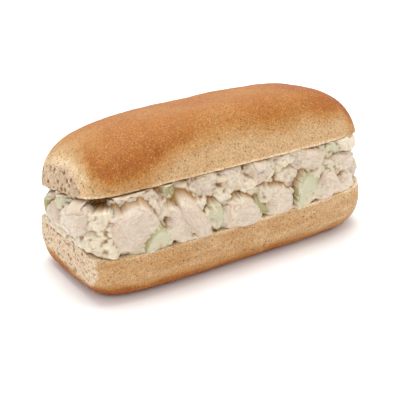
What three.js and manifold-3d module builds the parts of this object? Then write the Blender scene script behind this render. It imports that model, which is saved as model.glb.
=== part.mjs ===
// A chicken salad sub: a wholemeal sub roll cut right through, with chicken salad heaped between its halves.
// Millimetres, +Z up, the roll's length along X, the fuller open side facing -Y, standing on the heel's base.
// The heel and the crown are loaves: rings of superellipses stacked along a side profile. The heel's left end
// is flat, where it was pulled from the next roll of the batch.
// The salad is one heap: a smooth core, with chunks of chicken and celery fused on where they show.
import * as THREE from "three";
import { mergeVertices } from "three/addons/utils/BufferGeometryUtils.js";
import Module from "manifold-3d";

const wasm = await Module();
wasm.setup();

// The heel, the lower half of the roll
const HEEL_LENGTH = 150;
const HEEL_WIDTH = 64.4;
const HEEL_HEIGHT = 22.5;
const HEEL_SQUARENESS = 5.6; // exponent of the plan's superellipse: 2 is an ellipse, higher is squarer
const HEEL_BULGE = 0.6; // how far the side swells out between the cut and the base
const BASE_CURVE = 10.4; // how far the side curls in under the roll
const BASE_CURVE_TOP = 14.7; // the height where the side starts to curl in
const TORN_END = -75; // where the flat left end meets the front
const TORN_END_FRONT = -25; // how far forward that corner is
const TORN_END_SKEW = 3.5; // degrees, the back corner further in
const TORN_END_SURPLUS = 4; // how much longer the loaf was there before it was torn
const TORN_END_BOTTOM = 5; // the height below which the left end is still rounded

// The crown, the upper half, which leans back and is turned a little on the salad
const CROWN_LENGTH = 147.6;
const CROWN_WIDTH = 61.2;
const CROWN_HEIGHT = 26;
const CROWN_SQUARENESS = 6; // at the cut
const CROWN_TOP_SQUARENESS = 2; // at the very top
const CROWN_SIDE_POWER = 5.1; // how upright the sides stand before they round over
const CROWN_TOP_POWER = 2.17; // how round the top is
const CROWN_PLACE = new THREE.Vector3(0.5, 3.6, 42.3); // the middle of its cut face
const CROWN_LEAN = 12.5; // degrees, the front edge up
const CROWN_TURN = -2.5; // degrees about the vertical

// The salad
const CONTACT_GAP = 0.3; // between touching pieces
const CORE_INSET = 4.4; // how far the core's sides lie inside the heel's edge
const CORE_BULGE = 1.5; // how far they swell out between the halves
const CORE_LEAN = 2.3; // how far they draw in from the heel up to the crown
const CORE_FOOT = 2.4; // how much further out the core is squeezed along the heel's rim
const CHUNK_SQUARENESS = 3.4; // exponent of a chunk of chicken, a block with rounded edges
const CHUNK_CUTS = 5; // slanting cuts that take off its corners
const CUT_REACH = [0.8, 1.15]; // how far from its middle they lie, least and most, as a share of its size
const CHUNK_TIP = 22; // degrees, how far a chunk may tip towards the bread or away
const CHUNK_SWING = 16; // degrees, how far its ends may swing in and out
const CHUNK_OVERLAP = 1.14; // how much larger the chunks are than what shows of them
const FRONT_FACE = -33.7; // where the salad's front surface lies, low down
const FRONT_LEAN = 0.288; // how far it leans in for each millimetre up, in the middle
const FRONT_TWIST = 0.00165; // how much less for each millimetre along, because the crown is turned
const END_LEAN = 0.1; // how far the end surfaces lean in for each millimetre up
const LEFT_FACE = -75.6;
const RIGHT_FACE = 73.2;
const BACK_FACE = 31.6;
const BACK_START = -60; // where the first chunk of the back's row lies
const BACK_PITCH = 12.3; // from one to the next
const BACK_COUNT = 11;
const RIGHT_ACROSS = [-16, -6, 5, 17, -13, -1]; // places at the right end, four low ones, then two high ones

// How finely the loaves are divided
const LOAF_AROUND = 72;
const HEEL_CURVE_RINGS = 6;
const CROWN_RINGS = 12;
const CORE_RINGS = 5;

// The chunks that show along the front, left to right: what each one is, its place along the roll, its height
// above the heel's cut face, its length, its thickness, its slope in degrees, rising to the right, and how far
// it stands out. Of celery, slices show their cut face and ribs their skin.
const FRONT_CHUNKS = [
  ["dressing", -67.5, 15, 12, 12, 20, 1.2],
  ["dressing", -68, 6.5, 15, 11, -12, -4.2],
  ["dressing", -65.5, 3.5, 9, 8, 0, -3.6],
  ["chicken", -56, 8.6, 22, 20, 20, 3.2],
  ["dressing", -64.5, 12, 9, 9, 0, -0.8],
  ["chicken", -52.5, 22, 22, 11, 3, 0.8],
  ["chicken", -42.5, 16.5, 13, 12, -15, 0.8],
  ["slice", -46.5, 5.4, 13, 11, 5, 0.8],
  ["dressing", -38, 12.5, 9, 9, 0, -0.8],
  ["rib", -34.5, 20.5, 14, 9, -79, -1.4],
  ["chicken", -31.5, 6.5, 17, 15, -33, 3.2],
  ["chicken", -24.5, 8.2, 23, 8, -55, 4.4],
  ["chicken", -18.5, 20, 18, 16, -8, 0.7],
  ["slice", -16, 7.5, 11, 9, -45, 0.6],
  ["dressing", -9.5, 13, 9, 9, 20, -1],
  ["chicken", -3.5, 20.5, 14, 14, 0, 0.2],
  ["chicken", -1.8, 5.6, 21, 16, 3, 5],
  ["dressing", 4.5, 15, 10, 9, -10, -0.6],
  ["chicken", 13, 20.5, 18, 14, -2, 0.6],
  ["rib", 11.4, 4.6, 10, 8, -30, -1],
  ["dressing", 12.5, 11, 9, 8, 10, -0.8],
  ["chicken", 20.8, 5.4, 14, 13, -21, 3.4],
  ["dressing", 24, 22.5, 10, 10, 0, -0.6],
  ["chicken", 27.5, 14, 12, 10, -9, 0.2],
  ["chicken", 37, 21.5, 21, 13, -6, 1.4],
  ["slice", 34.8, 7, 16, 13, 11, 0.6],
  ["dressing", 43, 13.5, 9, 8, 0, -0.6],
  ["chicken", 47, 5.8, 14, 13, -36, 2.4],
  ["rib", 48.5, 15.5, 10, 8, 4, 0],
  ["slice", 51.5, 23.5, 8, 7, 2, -0.4],
  ["chicken", 58.5, 15, 14, 11, 11, 0.4],
  ["dressing", 60.5, 22.5, 13, 9, -4, 0.4],
  ["chicken", 58, 5.2, 13, 10, 16, -1.2],
];

// The same for the left end, with places across the roll and slopes rising to the front.
const LEFT_CHUNKS = [
  ["chicken", -5, 11, 28, 13, 25],
  ["dressing", -13, 4.5, 15, 8, 5],
  ["slice", 4.5, 18.5, 13, 9, 30],
  ["chicken", 11, 7, 14, 11, -20],
  ["rib", 18.5, 8, 11, 6, 80],
];

// A repeatable random number from 0 to 1 for the i-th thing and its k-th property.
function draw(i, k) {
  const wave = Math.sin(i * 12.9898 + k * 78.233) * 43758.5453;
  return wave - Math.floor(wave);
}

// The height of the crown's cut face above the heel's, at a distance across the roll.
function gapHeight(across) {
  const lean = Math.tan(THREE.MathUtils.degToRad(CROWN_LEAN));
  return CROWN_PLACE.z - HEEL_HEIGHT - (across - CROWN_PLACE.y) * lean;
}

// The point at an angle on a superellipse |x/a|^n + |y/b|^n = 1, on the ray through (a cos, b sin).
// Its half length to the left may differ.
function planPoint(angle, { right, left = right, side, squareness }) {
  const c = Math.cos(angle);
  const s = Math.sin(angle);
  const reach = (Math.abs(c) ** squareness + Math.abs(s) ** squareness) ** (-1 / squareness);
  return [(c > 0 ? right : left) * c * reach, side * s * reach];
}

// Angles that divide the roll's plan into equal steps along its edge.
function evenAngles(count) {
  const fine = 1440;
  const plan = { right: HEEL_LENGTH / 2, side: HEEL_WIDTH / 2, squareness: HEEL_SQUARENESS };
  const at = (i) => planPoint((i / fine) * 2 * Math.PI, plan);
  const travelled = [0];
  for (let i = 1; i <= fine; i++) {
    const [x0, y0] = at(i - 1);
    const [x1, y1] = at(i);
    travelled.push(travelled[i - 1] + Math.hypot(x1 - x0, y1 - y0));
  }
  const angles = [];
  let i = 0;
  for (let j = 0; j <= count; j++) {
    const wanted = (travelled[fine] * j) / count;
    while (i < fine - 1 && travelled[i + 1] < wanted) i++;
    const part = (wanted - travelled[i]) / (travelled[i + 1] - travelled[i]);
    angles.push(((i + part) / fine) * 2 * Math.PI);
  }
  return angles;
}

// Turns a geometry into a manifold-3d solid.
function toSolid(geometry) {
  const bare = geometry.clone();
  bare.deleteAttribute("normal");
  bare.deleteAttribute("uv");
  const merged = mergeVertices(bare, 1e-4);
  const vertProperties = merged.getAttribute("position").array;
  const triVerts = new Uint32Array(merged.index.array);
  return new wasm.Manifold(new wasm.Mesh({ numProp: 3, vertProperties, triVerts }));
}

// Turns a manifold-3d solid into a geometry.
function toGeometry(solid) {
  const { vertProperties, triVerts } = solid.getMesh();
  const geometry = new THREE.BufferGeometry();
  geometry.setAttribute("position", new THREE.BufferAttribute(vertProperties, 3));
  geometry.setIndex(new THREE.BufferAttribute(triVerts, 1));
  geometry.computeVertexNormals();
  return geometry;
}

// Wraps a sphere's grid round a loaf. Each section, from the top down, is a plan and its height z.
function loafGeometry(sections) {
  const sphere = new THREE.SphereGeometry(1, LOAF_AROUND, sections.length - 1);
  const angles = evenAngles(LOAF_AROUND);
  const place = sphere.getAttribute("position");
  for (let i = 0; i < place.count; i++) {
    const section = sections[Math.floor(i / (LOAF_AROUND + 1))];
    const [x, y] = planPoint(angles[i % (LOAF_AROUND + 1)], section);
    place.setXYZ(i, x, y, section.z);
  }
  return sphere;
}

// A section of no size, which closes a loaf's top or base.
function closing(z) {
  return { right: 0, side: 0, squareness: 2, z };
}

// The heel before it was torn: a flat cut face, a side that swells a little, and a quarter ellipse in to the
// flat base. grow makes it that much larger all round.
function heelSections(grow = 0) {
  const section = (out, z) => {
    const right = HEEL_LENGTH / 2 + out + grow;
    const fade = THREE.MathUtils.clamp((z - TORN_END_BOTTOM) / (BASE_CURVE_TOP - TORN_END_BOTTOM), 0, 1);
    const left = right + TORN_END_SURPLUS * fade;
    return { right, left, side: HEEL_WIDTH / 2 + out + grow, squareness: HEEL_SQUARENESS, z };
  };
  const sections = [closing(HEEL_HEIGHT + grow), section(0, HEEL_HEIGHT + grow)];
  sections.push(section(0.8 * HEEL_BULGE, (HEEL_HEIGHT + BASE_CURVE_TOP) / 2));
  for (let k = 0; k <= HEEL_CURVE_RINGS; k++) {
    const turn = (k / HEEL_CURVE_RINGS) * (Math.PI / 2);
    const out = HEEL_BULGE - BASE_CURVE * (1 - Math.cos(turn));
    sections.push(section(out, BASE_CURVE_TOP * (1 - Math.sin(turn)) - grow));
  }
  sections.push(closing(-grow));
  return sections;
}

// The heel, with its left end torn flat.
function heelGeometry() {
  const torn = new THREE.BoxGeometry(40, 120, 80);
  torn.translate(-20, 0, 0);
  torn.rotateZ(-THREE.MathUtils.degToRad(TORN_END_SKEW));
  torn.translate(TORN_END, TORN_END_FRONT, 0);
  return toGeometry(toSolid(loafGeometry(heelSections())).subtract(toSolid(torn)));
}

// The crown with its cut face at z = 0: a dome whose plan goes from square cornered at the cut to an ellipse
// at the top. grow makes it that much larger all round.
function crownSections(grow = 0) {
  const sections = [closing(CROWN_HEIGHT + grow)];
  for (let k = CROWN_RINGS - 1; k >= 0; k--) {
    const turn = (k / CROWN_RINGS) * (Math.PI / 2);
    const reach = Math.cos(turn) ** (2 / CROWN_SIDE_POWER);
    sections.push({
      right: (CROWN_LENGTH / 2) * reach + grow,
      side: (CROWN_WIDTH / 2) * reach + grow,
      squareness: CROWN_SQUARENESS + ((CROWN_TOP_SQUARENESS - CROWN_SQUARENESS) * k) / CROWN_RINGS,
      z: CROWN_HEIGHT * Math.sin(turn) ** (2 / CROWN_TOP_POWER) + (k ? grow : -grow),
    });
  }
  sections.push(closing(-grow));
  return sections;
}

// Leans a crown's geometry back, turns it and sets it on the salad.
function crownGeometry(grow) {
  const geometry = loafGeometry(crownSections(grow));
  geometry.rotateX(-THREE.MathUtils.degToRad(CROWN_LEAN));
  geometry.rotateZ(THREE.MathUtils.degToRad(CROWN_TURN));
  geometry.translate(CROWN_PLACE.x, CROWN_PLACE.y, CROWN_PLACE.z);
  return geometry;
}

// The core of the salad: a slab with swelling sides inside the heel's outline, up into the crown's cut face.
// It slides back as it rises, because the crown sits further back than the heel and is turned on it.
function coreGeometry() {
  const sections = [closing(1)];
  for (let k = CORE_RINGS; k >= 0; k--) {
    const level = k / CORE_RINGS;
    const foot = k ? 0 : CORE_FOOT;
    const out = CORE_BULGE * Math.sin(level * Math.PI) - CORE_LEAN * level - CORE_INSET + foot;
    sections.push({
      right: HEEL_LENGTH / 2 + out,
      side: HEEL_WIDTH / 2 + out,
      squareness: HEEL_SQUARENESS,
      z: level,
    });
  }
  sections.push(closing(0));
  const geometry = loafGeometry(sections);
  const place = geometry.getAttribute("position");
  const turn = Math.tan(THREE.MathUtils.degToRad(CROWN_TURN));
  for (let i = 0; i < place.count; i++) {
    const level = place.getZ(i);
    const y = place.getY(i) + level * (CROWN_PLACE.y + place.getX(i) * turn);
    const thickness = gapHeight(y) + 2 * CONTACT_GAP;
    place.setY(i, y);
    place.setZ(i, HEEL_HEIGHT - CONTACT_GAP + level * thickness);
  }
  return geometry;
}

// A chunk of chicken: a box pushed out to a rounded block, where |x|^n + |y|^n + |z|^n is 1. Each slanting cut
// adds the n-th power of how far out a point is in the cut's direction, over the cut's reach.
function chickenGeometry(seed) {
  const box = new THREE.BoxGeometry(2, 2, 2, 3, 2, 2);
  const place = box.getAttribute("position");
  const cuts = [];
  for (let k = 0; k < CHUNK_CUTS; k++) {
    const sides = [0, 1, 2].map((axis) => draw(seed, 40 + 3 * k + axis) - 0.5);
    const reach = THREE.MathUtils.lerp(CUT_REACH[0], CUT_REACH[1], draw(seed, 60 + k));
    cuts.push(new THREE.Vector3(...sides).setLength(1 / reach));
  }
  const p = new THREE.Vector3();
  for (let i = 0; i < place.count; i++) {
    p.fromBufferAttribute(place, i);
    const outward = [...p.toArray().map(Math.abs), ...cuts.map((cut) => Math.max(cut.dot(p), 0))];
    const sum = outward.reduce((total, far) => total + far ** CHUNK_SQUARENESS, 0);
    p.multiplyScalar(sum ** (-1 / CHUNK_SQUARENESS));
    place.setXYZ(i, p.x, p.y, p.z);
  }
  return box;
}

// A slice of celery, hollow side down and cut faces to the front and the back, in a box 2 by 2 by 2.
function sliceGeometry() {
  const steps = 6;
  const outline = new THREE.Shape();
  const arc = (i, out, rise) => {
    const turn = Math.PI * (1 - i / steps);
    return [Math.cos(turn) * out, Math.sin(turn) * rise];
  };
  outline.moveTo(...arc(0, 1, 1));
  for (let i = 1; i <= steps; i++) outline.lineTo(...arc(i, 1, 1));
  for (let i = steps; i >= 0; i--) outline.lineTo(...arc(i, 0.5, 0.3));
  outline.closePath();
  const bevel = { bevelEnabled: true, bevelThickness: 0.2, bevelSize: 0.12, bevelSegments: 1 };
  const slice = new THREE.ExtrudeGeometry(outline, { depth: 1.6, ...bevel });
  slice.rotateX(Math.PI / 2);
  slice.translate(0, 0.8, -0.5);
  slice.scale(1 / 1.12, 1, 2 / 1.24);
  return slice;
}

// The same slice lying lengthwise with its skin to the front.
function ribGeometry() {
  return sliceGeometry()
    .rotateZ(Math.PI / 2)
    .rotateX(Math.PI / 2);
}

// A blob of dressing.
function dressingGeometry() {
  return new THREE.IcosahedronGeometry(1, 1);
}

// Builds a chunk facing the front, tips it, swings it, slopes it and turns it to face its own side.
function chunkSolid({ kind, x, y, z, length, depth, height, slope, facing, seed }) {
  const make = {
    chicken: chickenGeometry,
    slice: sliceGeometry,
    rib: ribGeometry,
    dressing: dressingGeometry,
  };
  const geometry = make[kind](seed);
  geometry.scale((CHUNK_OVERLAP * length) / 2, depth / 2, (CHUNK_OVERLAP * height) / 2);
  geometry.rotateX(THREE.MathUtils.degToRad(CHUNK_TIP) * (2 * draw(seed, 5) - 1));
  geometry.rotateZ(THREE.MathUtils.degToRad(CHUNK_SWING) * (2 * draw(seed, 6) - 1));
  geometry.rotateY(-THREE.MathUtils.degToRad(slope));
  geometry.rotateZ(facing);
  geometry.translate(x, y, z);
  return toSolid(geometry);
}

// Every chunk that shows, with its place, its size and the way that it faces.
function allChunks() {
  const chunks = [];
  const add = (chunk) => chunks.push({ seed: chunks.length + 1, z: HEEL_HEIGHT + chunk.above, ...chunk });
  for (const [kind, along, above, length, height, slope, proud] of FRONT_CHUNKS) {
    const depth = 6 + 0.5 * height + 0.15 * length;
    const y = FRONT_FACE + (FRONT_LEAN - FRONT_TWIST * along) * above + depth / 2 - proud;
    add({ kind, x: along, y, above, length, depth, height, slope, facing: 0 });
  }
  // The first chunk of the left end, the long dice at the corner, stands out further.
  LEFT_CHUNKS.forEach(([kind, across, above, length, height, slope], i) => {
    const depth = 6 + 0.5 * height;
    const x = LEFT_FACE + END_LEAN * above + depth / 2 - (i ? 0 : 2.6);
    add({ kind, x, y: across, above, length, depth, height, slope, facing: -Math.PI / 2 });
  });
  // The back has one row, as high as the gap there, with every fourth chunk celery.
  for (let i = 0; i < BACK_COUNT; i++) {
    const kind = i % 4 === 2 ? "slice" : "chicken";
    const depth = 11;
    const x = BACK_START + i * BACK_PITCH + 3 * (draw(i, 11) - 0.5);
    const y = BACK_FACE - depth / 2 + 2 * (draw(i, 12) - 0.5);
    const room = gapHeight(BACK_FACE - depth / 2);
    const height = room * (0.68 + 0.18 * draw(i, 13));
    const length = BACK_PITCH * (kind === "slice" ? 0.85 : 1 + 0.3 * draw(i, 14));
    const above = room * (0.44 + 0.12 * draw(i, 15));
    add({ kind, x, y, above, length, depth, height, slope: 40 * (draw(i, 16) - 0.5), facing: Math.PI });
  }
  // The right end has a low row all along, and a high row at the front, where the gap is high.
  RIGHT_ACROSS.forEach((across, i) => {
    const high = i > 3;
    const room = gapHeight(across);
    const kind = i === 2 || i === 4 ? "slice" : "chicken";
    const height = high ? room * 0.42 : Math.min(room * 0.6, 12);
    const length = kind === "slice" ? 11 : 13 + 3 * draw(i, 21);
    const depth = 12;
    const above = high ? room * 0.76 : height * 0.56;
    const x = RIGHT_FACE - END_LEAN * above - depth / 2 + 1.6 * draw(i, 22);
    const slope = 30 * (draw(i, 23) - 0.5);
    add({ kind, x, y: across, above, length, depth, height, slope, facing: Math.PI / 2 });
  });
  return chunks;
}

// The whole heap: core and chunks fused, and kept just clear of both halves of the roll.
function saladGeometry() {
  const heap = wasm.Manifold.union([toSolid(coreGeometry()), ...allChunks().map(chunkSolid)]);
  const heel = toSolid(loafGeometry(heelSections(CONTACT_GAP)));
  const crown = toSolid(crownGeometry(CONTACT_GAP));
  const pieces = heap.subtract(heel).subtract(crown).decompose();
  return toGeometry(pieces.reduce((largest, piece) => (piece.volume() > largest.volume() ? piece : largest)));
}

function named(name, geometry, color, roughness) {
  const mesh = new THREE.Mesh(geometry, new THREE.MeshStandardMaterial({ color, roughness, metalness: 0 }));
  mesh.name = name;
  return mesh;
}

const sub = new THREE.Group();
sub.add(named("roll_heel", heelGeometry(), 0xcda671, 0.85));
sub.add(named("chicken_salad", saladGeometry(), 0xe2d2b6, 0.45));
sub.add(named("roll_crown", crownGeometry(), 0xd0925a, 0.7));

// The origin is under the middle of the whole sub, on the table.
const box = new THREE.Box3().setFromObject(sub);
const middle = box.getCenter(new THREE.Vector3());
sub.children.forEach((mesh) => mesh.position.set(-middle.x, -middle.y, 0));

export default sub;
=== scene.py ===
"""Chicken salad sub: a wheat sub roll cut through, with diced chicken and celery in mayonnaise inside.

Every surface is worked out on a grid of two parameters. Lengths in the functions are millimetres in the
roll's own frame: the heel's middle at x = y = 0, the table at z = 0, the open side of the sandwich
towards -y. Grid meshes are moved and scaled into the part's frame, in metres, when they are made.
"""

import math

import bpy
import numpy as np
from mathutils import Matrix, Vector


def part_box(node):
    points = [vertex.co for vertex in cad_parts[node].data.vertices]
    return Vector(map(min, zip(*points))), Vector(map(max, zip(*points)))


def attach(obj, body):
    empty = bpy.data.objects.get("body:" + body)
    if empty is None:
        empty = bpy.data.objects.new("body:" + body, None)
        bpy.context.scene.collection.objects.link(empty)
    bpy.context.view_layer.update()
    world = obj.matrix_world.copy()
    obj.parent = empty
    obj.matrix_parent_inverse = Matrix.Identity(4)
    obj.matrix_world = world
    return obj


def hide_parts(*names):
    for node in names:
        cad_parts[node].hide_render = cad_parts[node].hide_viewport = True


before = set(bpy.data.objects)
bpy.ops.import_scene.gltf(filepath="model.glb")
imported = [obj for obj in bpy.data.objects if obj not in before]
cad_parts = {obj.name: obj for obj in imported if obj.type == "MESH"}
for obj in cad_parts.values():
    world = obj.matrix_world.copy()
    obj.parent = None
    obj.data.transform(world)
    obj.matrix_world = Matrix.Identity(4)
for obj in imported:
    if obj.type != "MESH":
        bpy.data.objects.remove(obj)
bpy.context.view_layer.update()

MM = 0.001

# The heel: the lower half of the roll. Its plan is a superellipse, and its side swells by HEEL_BULGE. The
# base's curve reaches in by BASE_CURVE and up to BASE_CURVE_TOP.
HEEL_LENGTH = 150
HEEL_WIDTH = 64.4
HEEL_HEIGHT = 22.5
HEEL_SQUARENESS = 5.6
HEEL_BULGE = 0.6
BASE_CURVE = 10.4
BASE_CURVE_TOP = 14.7

# Its left end, torn from the next roll of the batch: a flat face of open crumb, turned by TORN_END_SKEW
# degrees. Before that plane cuts it, the plan reaches TORN_END_SURPLUS further, from TORN_END_BOTTOM up.
TORN_END = -75
TORN_END_FRONT = -25
TORN_END_SKEW = 3.5
TORN_END_SURPLUS = 4
TORN_END_BOTTOM = 5

# The crown: the upper half, leaning back on the salad and turned on it, in degrees.
CROWN_LENGTH = 147.6
CROWN_WIDTH = 61.2
CROWN_HEIGHT = 26
CROWN_SQUARENESS = 6
CROWN_TOP_SQUARENESS = 2
CROWN_SIDE_POWER = 5.1
CROWN_TOP_POWER = 2.17
CROWN_PLACE = (0.5, 3.6, 42.3)
CROWN_LEAN = 12.5
CROWN_TURN = -2.5

# The salad: its core, how its chunks are shaped and turned, how far out each side's chunks stand, and the
# rule for those at the back and the right end. Of the right end's six, the first four are the lower row.
CORE_INSET = 4.4
CORE_BULGE = 1.5
CORE_LEAN = 2.3
CHUNK_SQUARENESS = 3.4
CHUNK_CUTS = 5
CUT_REACH = (0.8, 1.15)
CHUNK_TIP = 22
CHUNK_SWING = 16
CHUNK_OVERLAP = 1.14
FRONT_FACE = -33.7
FRONT_LEAN = 0.288
FRONT_TWIST = 0.00165
END_LEAN = 0.1
LEFT_FACE = -75.6
RIGHT_FACE = 73.2
BACK_FACE = 31.6
BACK_START = -60
BACK_PITCH = 12.3
BACK_COUNT = 11
BACK_DEPTH = 11
RIGHT_ACROSS = (-16, -6, 5, 17, -13, -1)
RIGHT_LOW_ROW = 4
RIGHT_SLICES = (2, 4)
RIGHT_DEPTH = 12
CHUNK_DEPTH = 6
LONG_DICE_PROUD = 2.6

# The chunks that show along the front: kind, place along the roll, height above the heel's cut face,
# length, thickness, slope in degrees and how far it stands out of the front. Slices of celery show their
# cut face and ribs their skin.
FRONT_CHUNKS = (
    ("dressing", -67.5, 15, 12, 12, 20, 1.2), ("dressing", -68, 6.5, 15, 11, -12, -4.2),
    ("dressing", -65.5, 3.5, 9, 8, 0, -3.6), ("chicken", -56, 8.6, 22, 20, 20, 3.2),
    ("dressing", -64.5, 12, 9, 9, 0, -0.8), ("chicken", -52.5, 22, 22, 11, 3, 0.8),
    ("chicken", -42.5, 16.5, 13, 12, -15, 0.8), ("slice", -46.5, 5.4, 13, 11, 5, 0.8),
    ("dressing", -38, 12.5, 9, 9, 0, -0.8), ("rib", -34.5, 20.5, 14, 9, -79, -1.4),
    ("chicken", -31.5, 6.5, 17, 15, -33, 3.2), ("chicken", -24.5, 8.2, 23, 8, -55, 4.4),
    ("chicken", -18.5, 20, 18, 16, -8, 0.7), ("slice", -16, 7.5, 11, 9, -45, 0.6),
    ("dressing", -9.5, 13, 9, 9, 20, -1), ("chicken", -3.5, 20.5, 14, 14, 0, 0.2),
    ("chicken", -1.8, 5.6, 21, 16, 3, 5), ("dressing", 4.5, 15, 10, 9, -10, -0.6),
    ("chicken", 13, 20.5, 18, 14, -2, 0.6), ("rib", 11.4, 4.6, 10, 8, -30, -1),
    ("dressing", 12.5, 11, 9, 8, 10, -0.8), ("chicken", 20.8, 5.4, 14, 13, -21, 3.4),
    ("dressing", 24, 22.5, 10, 10, 0, -0.6), ("chicken", 27.5, 14, 12, 10, -9, 0.2),
    ("chicken", 37, 21.5, 21, 13, -6, 1.4), ("slice", 34.8, 7, 16, 13, 11, 0.6),
    ("dressing", 43, 13.5, 9, 8, 0, -0.6), ("chicken", 47, 5.8, 14, 13, -36, 2.4),
    ("rib", 48.5, 15.5, 10, 8, 4, 0), ("slice", 51.5, 23.5, 8, 7, 2, -0.4),
    ("chicken", 58.5, 15, 14, 11, 11, 0.4), ("dressing", 60.5, 22.5, 13, 9, -4, 0.4),
    ("chicken", 58, 5.2, 13, 10, 16, -1.2),
)

# The same for the left end, with places across the roll and slopes rising to the front. None stands out
# more than the next but the first, the long dice at the corner, by LONG_DICE_PROUD.
LEFT_CHUNKS = (
    ("chicken", -5, 11, 28, 13, 25), ("dressing", -13, 4.5, 15, 8, 5),
    ("slice", 4.5, 18.5, 13, 9, 30), ("chicken", 11, 7, 14, 11, -20),
    ("rib", 18.5, 8, 11, 6, 80),
)

# Where the salad's foot draws back from the heel's rim in front: place along the roll and half width.
FOOT_NOTCHES = (
    (-71, 3.0), (-62, 2.2), (-38.6, 2.5), (-13, 3.2), (11, 3.0), (40.5, 2.2), (52, 2.4), (66, 5.0),
)

# Hollows in the dressing's front: place along the roll, height above the heel's cut face, radius, depth.
HOLLOWS = (
    (10.0, 10.9, 0.8, 0.6), (10.9, 9.4, 1.1, 0.9), (23.8, 9.7, 0.8, 0.7), (24.7, 8.3, 1.0, 0.8),
    (-32.4, 16.3, 1.2, 1.2), (-40.5, 11.2, 1.5, 1.6), (-8.8, 18.1, 1.2, 1.2), (31.0, 20.6, 1.3, 1.3),
)

# Crevices at the left corner, each a line of points: place along and across the roll, height above the
# heel's cut face, radius and depth.
CREVICES = (
    ((-64.5, -22.0, 20.4, 1.1, 1.0), (-64.2, -23.5, 18.1, 0.9, 0.8), (-66.2, -24.5, 14.2, 0.9, 0.8),
     (-67.6, -24.7, 11.4, 1.0, 1.0), (-68.6, -25.0, 8.4, 1.1, 1.1), (-69.3, -25.0, 5.8, 1.0, 0.9),
     (-68.5, -26.1, 2.6, 0.8, 0.6)),
    ((-74.7, -13.2, 7.1, 0.9, 0.8), (-74.2, -16.0, 9.8, 1.0, 1.0), (-72.9, -19.4, 11.2, 1.0, 1.0),
     (-71.5, -21.6, 11.2, 0.8, 0.7)),
    ((-69.4, -15.5, 23.6, 1.8, 1.4), (-67.8, -17.7, 23.4, 2.2, 2.0), (-65.9, -19.5, 23.1, 2.4, 2.3),
     (-64.9, -21.1, 21.6, 1.7, 1.4)),
    ((-74.5, 9.9, 10.7, 0.9, 1.0), (-74.5, 6.2, 10.8, 1.0, 1.1), (-74.0, 3.3, 13.8, 1.1, 1.2),
     (-73.6, 0.4, 15.8, 1.2, 1.4), (-73.0, -2.4, 18.2, 1.2, 1.4)),
    ((-74.9, 8.5, 5.5, 1.1, 0.8), (-74.8, 7.5, 5.2, 1.0, 0.6)),
    ((-74.8, -9.3, 5.3, 1.4, 0.9), (-74.8, -8.3, 5.0, 1.2, 0.6)),
)
CREVICE_STEPS = 7

# Beads of dressing at the left corner: place along and across the roll, height above the heel, radius.
BEADS = (
    (-71.5, -22.5, 14.3, 1.9), (-72.8, -19.8, 15.9, 1.3), (-71.5, -20.0, 18.3, 1.2),
    (-73.6, -19.4, 14.2, 1.3), (-74.7, -19.6, 9.3, 1.5), (-73.3, -22.0, 10.0, 1.5),
    (-72.2, -23.8, 8.5, 1.7), (-75.6, -16.1, 5.0, 1.6), (-74.6, -20.5, 3.9, 1.5),
    (-69.3, -25.8, 6.0, 1.7), (-67.5, -26.4, 4.6, 1.6), (-69.3, -22.5, 17.6, 1.4),
    (-67.6, -22.3, 19.9, 1.3), (-67.9, -24.1, 16.5, 1.4), (-70.9, -24.0, 12.0, 1.3),
    (-69.9, -25.5, 9.9, 1.2), (-67.5, -25.8, 13.2, 1.2),
)

# Where small lumps crowd in the dressing along the front: place along the roll, height above the heel's
# cut face and how far they spread.
CLUSTERS = (
    (-74.0, 19.5, 7.5), (-67.5, 26.8, 4.0), (-2.0, 12.6, 9.0), (7.1, 16.0, 5.0),
    (53.6, 12.2, 6.0), (-26.2, 5.7, 4.0), (-49.2, 18.4, 4.0), (27.0, 6.1, 4.0),
)

# Where the crown's brown top crust gives way to its pale side, on the front: place along and height, in
# the crown's own frame with its cut face at z = 0.
BROWN_LINE = (
    (-73, 8.0), (-62, 4.2), (-53, 4.4), (-46, 3.9), (-38, 8.8), (-27, 12.8), (-16, 15.1), (0, 16.2),
    (15, 14.0), (31, 11.7), (43, 12.9), (63, 12.2), (74, 6.8),
)

# Where the crumb is torn open low on the crown's left end: place across, and the patch's height there.
TORN_PATCH = ((-22, 0), (-19, 3), (-15, 7), (-10, 10), (-3, 11), (14, 9.6), (26, 6))
TORN_PATCH_START = (64, 68)
TORN_PATCH_FRONT = (-24, -17)

# The heel's crease, where its side meets the base's curve: its height, its half width, and where it fades
# in and out along the roll. Then the larger pits in the heel's front: place along the roll, height, radius.
CREASE_HEIGHT = 14.2
CREASE_REACH = 0.9
CREASE_START = (-54, -46)
CREASE_END = (16, 24)
HEEL_PITS = ((0, 8.9, 0.9), (5, 7.3, 0.7), (11, 8.2, 0.8), (33, 17, 0.6))

# How uneven things are: the height and the size, in mm, of each layer of smooth noise.
CRUST_LUMPS = ((0.28, 16), (0.12, 6), (0.05, 2.4), (0.06, 1.1))
CRUMB_LUMPS = ((0.22, 3.5), (0.12, 1.6))
TORN_PATCH_LUMPS = ((1.4, 5), (0.8, 2.2))
BROWN_LINE_LUMPS = ((1.5, 13), (0.7, 5))
PALE_END_LUMPS = ((3, 6), (2, 2.2))
SHOULDER_LUMPS = ((0.9, 4.5), (0.5, 2.2))
FILM_LUMPS = ((0.5, 4.5), (0.3, 2.0))
PACKED_LUMPS = ((1.3, 6.5), (0.6, 2.6))

# The pores of torn crumb: the size of the cells that hold one at most, the share of them that do, and the
# depth. The crown's crumb has more of them, by CROWN_OPENNESS.
CRUMB_PORES = ((5.0, 0.25, 0.9), (3.0, 0.35, 0.6))
CROWN_OPENNESS = 1.9

# The dressing's film over each kind of chunk: how much it varies, and how thick it is on average, in mm.
FILM = {"chicken": (1, -0.1), "slice": (1, -0.28), "rib": (1, -0.15), "dressing": (2, 0.2), "bit": (0.5, 0)}

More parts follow.
